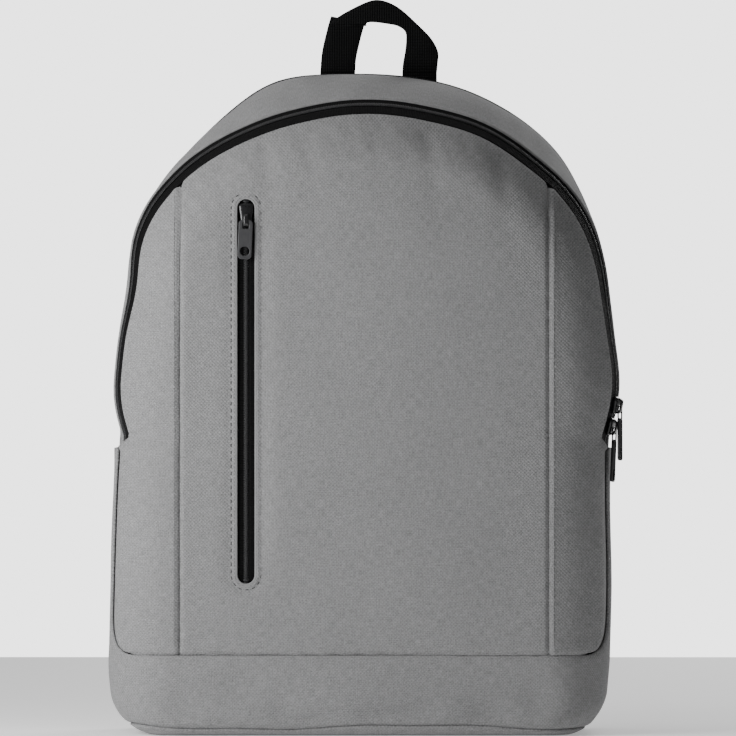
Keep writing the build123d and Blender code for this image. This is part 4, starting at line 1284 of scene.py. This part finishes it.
PAD_PATH = [(-1, 5.2), (12, 11.5), (45, 27), (150, 29), (196, 13), (222, 13)]
for side, name in ((1, "right"), (-1, "left")):
    top_end, low_end = np.array([side * 48.0, BACK_Y, 396.0]), np.array([side * 130.0, BACK_Y, 42.0])
    chord = unit(low_end - top_end)
    off = np.array([0.0, 1.0, 0.0])
    wide = unit(np.cross(off, chord))

    def place(path, top_end=top_end, chord=chord, off=off):
        path = np.asarray(path, float)
        return top_end + path[:, :1] * chord + path[:, 1:] * off

    body = f"{name}_strap"
    spine = curve_through(place(PAD_PATH), 2.2 / FINE)
    tangent = np.gradient(spine, axis=0)
    tangent /= np.linalg.norm(tangent, axis=1, keepdims=True)
    face = np.cross(tangent, wide)
    face *= np.sign(face @ off)[:, None]
    share = along_path(spine) / along_path(spine)[-1]
    half = 28.6 - 8.5 * smooth((share - 0.72)
            / 0.28) + 0.5 * lumps(np.stack([share * 8, share * 0, share * 0], 1), 1.0, 4.0)
    ends = np.minimum(share, 1 - share) * along_path(spine)[-1]
    half = half * (0.55 + 0.45 * smooth(ends / 16)) ** 0.6
    thick = 4.5 * (0.42 + 0.58 * smooth(ends / 24))
    turn = np.linspace(0, 2 * math.pi, 40, endpoint=False)
    c, s = np.cos(turn), np.sin(turn)
    px = np.sign(c) * np.abs(c) ** 0.8
    pz = np.sign(s) * np.abs(s) ** 0.75
    quilt = 1 - 0.10 * np.exp(-(px / 0.12) ** 2)
    rings = spine[:, None] + wide * (px[None] * half[:, None])[..., None] + face[:,
            None] * (pz * quilt)[None, :, None] * thick[:, None, None]
    rings = rings + face[:, None] * (0.35 * lumps(rings, 22.0, 8.0))[..., None]
    uv = np.stack([np.repeat(share * along_path(spine)[-1], 40), (px[None] * half[:, None]).ravel()], 1)
    vertices, faces = swept(rings)
    made = outward_faces(smooth_mesh(f"{name}_strap_cushion", vertices, faces, uv))
    lay_uv(made, tuple(chord), tuple(wide))
    fit(made, mesh_cloth, body, f"{name}_strap_pad", f"{name}_strap_foam")
    bind = []
    for edge_side in (-1, 1):
        bind.append(wire(spine + wide * (half * edge_side * 0.985)[:, None], 1.5, sides=8))
    made = merge(f"{name}_strap_binding", bind)
    lay_uv(made, tuple(chord), tuple(wide))
    fit(made, binding_cloth, body)

    loop_path = place([(214, 12.2), (222, 10.2), (233, 10.2), (235, 13), (233, 15.8), (222, 15.8),
            (214, 14.6)])
    loop_path = curve_through(loop_path, 0.8)
    tangent = np.gradient(loop_path, axis=0)
    tangent /= np.linalg.norm(tangent, axis=1, keepdims=True)
    band, _ = strip(loop_path, wide, np.cross(tangent, wide), 25.0, 1.5)
    made = merge(f"{name}_lock_loop_webbing", [band])
    lay_uv(made, tuple(chord), tuple(wide))
    fit(made, webbing_cloth, body, f"{name}_lock_loop")

    tail = curve_through(place([(362, 5), (300, 7.6), (250, 9.8), (240, 10.0), (236.6, 13), (240, 15.6),
            (262, 15.9), (300, 14.6), (312, 14)]), 1.2)
    tangent = np.gradient(tail, axis=0)
    tangent /= np.linalg.norm(tangent, axis=1, keepdims=True)
    band, _ = strip(tail, wide, np.cross(tangent, wide), 25.0, 1.5)
    made = merge(f"{name}_strap_webbing_band", [band])
    lay_uv(made, tuple(chord), tuple(wide))
    fit(made, webbing_cloth, body, f"{name}_strap_webbing")

    frame_axes = (wide, chord, off)
    centre = place([(236, 13.0)])[0]
    ring_out = rounded(33, -12, 12, 3.5)
    ring_holes = [rounded(26.0, -9.6, -1.0, 1.6), rounded(26.0, 1.6, 9.4, 1.6)]
    plate(f"{name}_lock_frame", ring_out, ring_holes, 3.8, 0.7, frame_axes, centre, buckle_plastic, body,
            f"{name}_ladder_lock")

    low, high = node_box(f"{name}_base_tab")
    corners = np.array([[(151.0, 21.0), (150.0, 66.0)], [(120.5, 35.0), (116.0, 49.0)]])
    tu, tv = np.meshgrid(np.linspace(0, 1, 16), np.linspace(0, 1, 16), indexing="ij")
    flat = ((1 - tu)[..., None] * ((1 - tv)[..., None] * corners[0, 0] + tv[..., None] * corners[0, 1])
            + tu[..., None] * ((1 - tv)[..., None] * corners[1, 0] + tv[..., None] * corners[1, 1]))
    X, Z = side * flat[..., 0], flat[..., 1]
    laid = pad_y(X, Z) + 1.5 + 0.5 * smooth((tu - 0.6) / 0.4)
    made = slab(f"{name}_tab_cloth", np.stack([X, laid, Z], -1), -FORWARD, 1.7, uv=np.stack([X, Z], -1))
    fit(made, binding_cloth, "bag", f"{name}_base_tab")

low, high = node_box("strap_yoke")
zs = np.linspace(low[2], high[2], 12)
xs = np.linspace(low[0], high[0], 60)
XX, ZZ = np.meshgrid(xs, zs, indexing="ij")
made = slab("yoke_cloth", np.stack([XX, np.full_like(XX, high[1] + 0.5) + 0.3 * np.sin(XX / 9), ZZ], -1),
        -FORWARD, high[1] - low[1] + 0.5,
            uv=np.stack([XX, ZZ], -1))
fit(made, binding_cloth, "bag", "strap_yoke")

# ---------------------------------------------------------------- floor, light and camera

floor_mesh = bpy.data.meshes.new("floor")
reach = 1.4
floor_mesh.from_pydata([(-reach, -reach, 0), (reach, -reach, 0), (reach, reach, 0), (-reach, reach, 0)], [],
        [(0, 1, 2, 3)])
floor = bpy.data.objects.new("floor", floor_mesh)
bpy.context.scene.collection.objects.link(floor)
paint, nodes, links, shader = new_material("floor_paint")
shader.inputs["Base Color"].default_value = (0.95, 0.95, 0.95, 1)
shader.inputs["Emission Color"].default_value = (1, 1, 1, 1)
shader.inputs["Emission Strength"].default_value = 0.3
shader.inputs["Roughness"].default_value = 0.6
floor.data.materials.append(paint)
floor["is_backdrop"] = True

world = bpy.data.worlds.new("studio")
world.use_nodes = True
backdrop = world.node_tree.nodes["Background"]
backdrop.inputs["Color"].default_value = (1, 1, 1, 1)
seen = world.node_tree.nodes.new("ShaderNodeLightPath")
level = world.node_tree.nodes.new("ShaderNodeMapRange")
level.inputs["To Min"].default_value = 0.09
level.inputs["To Max"].default_value = 3.0
world.node_tree.links.new(seen.outputs["Is Camera Ray"], level.inputs["Value"])
world.node_tree.links.new(level.outputs["Result"], backdrop.inputs["Strength"])
bpy.context.scene.world = world


def lamp(name, position, target, size, power):
    data = bpy.data.lights.new(name, "AREA")
    data.size = size
    data.energy = power
    made = bpy.data.objects.new(name, data)
    made.location = position
    made.rotation_euler = (Vector(target) - Vector(position)).to_track_quat("-Z", "Y").to_euler()
    bpy.context.scene.collection.objects.link(made)
    return made


lamp("key", (-0.56, -0.46, 0.38), (-0.08, -0.05, 0.22), 0.45, 6.2)
lamp("top", (-0.3, 0.3, 2.0), (0, 0.3, 0), 1.4, 14)
lamp("back", (1.0, 2.2, 1.4), (0, 0, 0.25), 1.2, 30)

camera_data = bpy.data.cameras.new("camera")
camera = bpy.data.objects.new("camera", camera_data)
bpy.context.scene.collection.objects.link(camera)
bpy.context.scene.camera = camera
AWAY = 6.0
TURN = math.radians(0.3)
aim = Vector((0.0013, -0.02, 0.2318))
camera.location = aim + Vector((AWAY * math.sin(TURN), -AWAY * math.cos(TURN), 0.02))
camera.rotation_euler = (aim - camera.location).to_track_quat("-Z", "Y").to_euler()
camera_data.sensor_width = 36
camera_data.lens = 36 * AWAY / 0.4674

low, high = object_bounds()
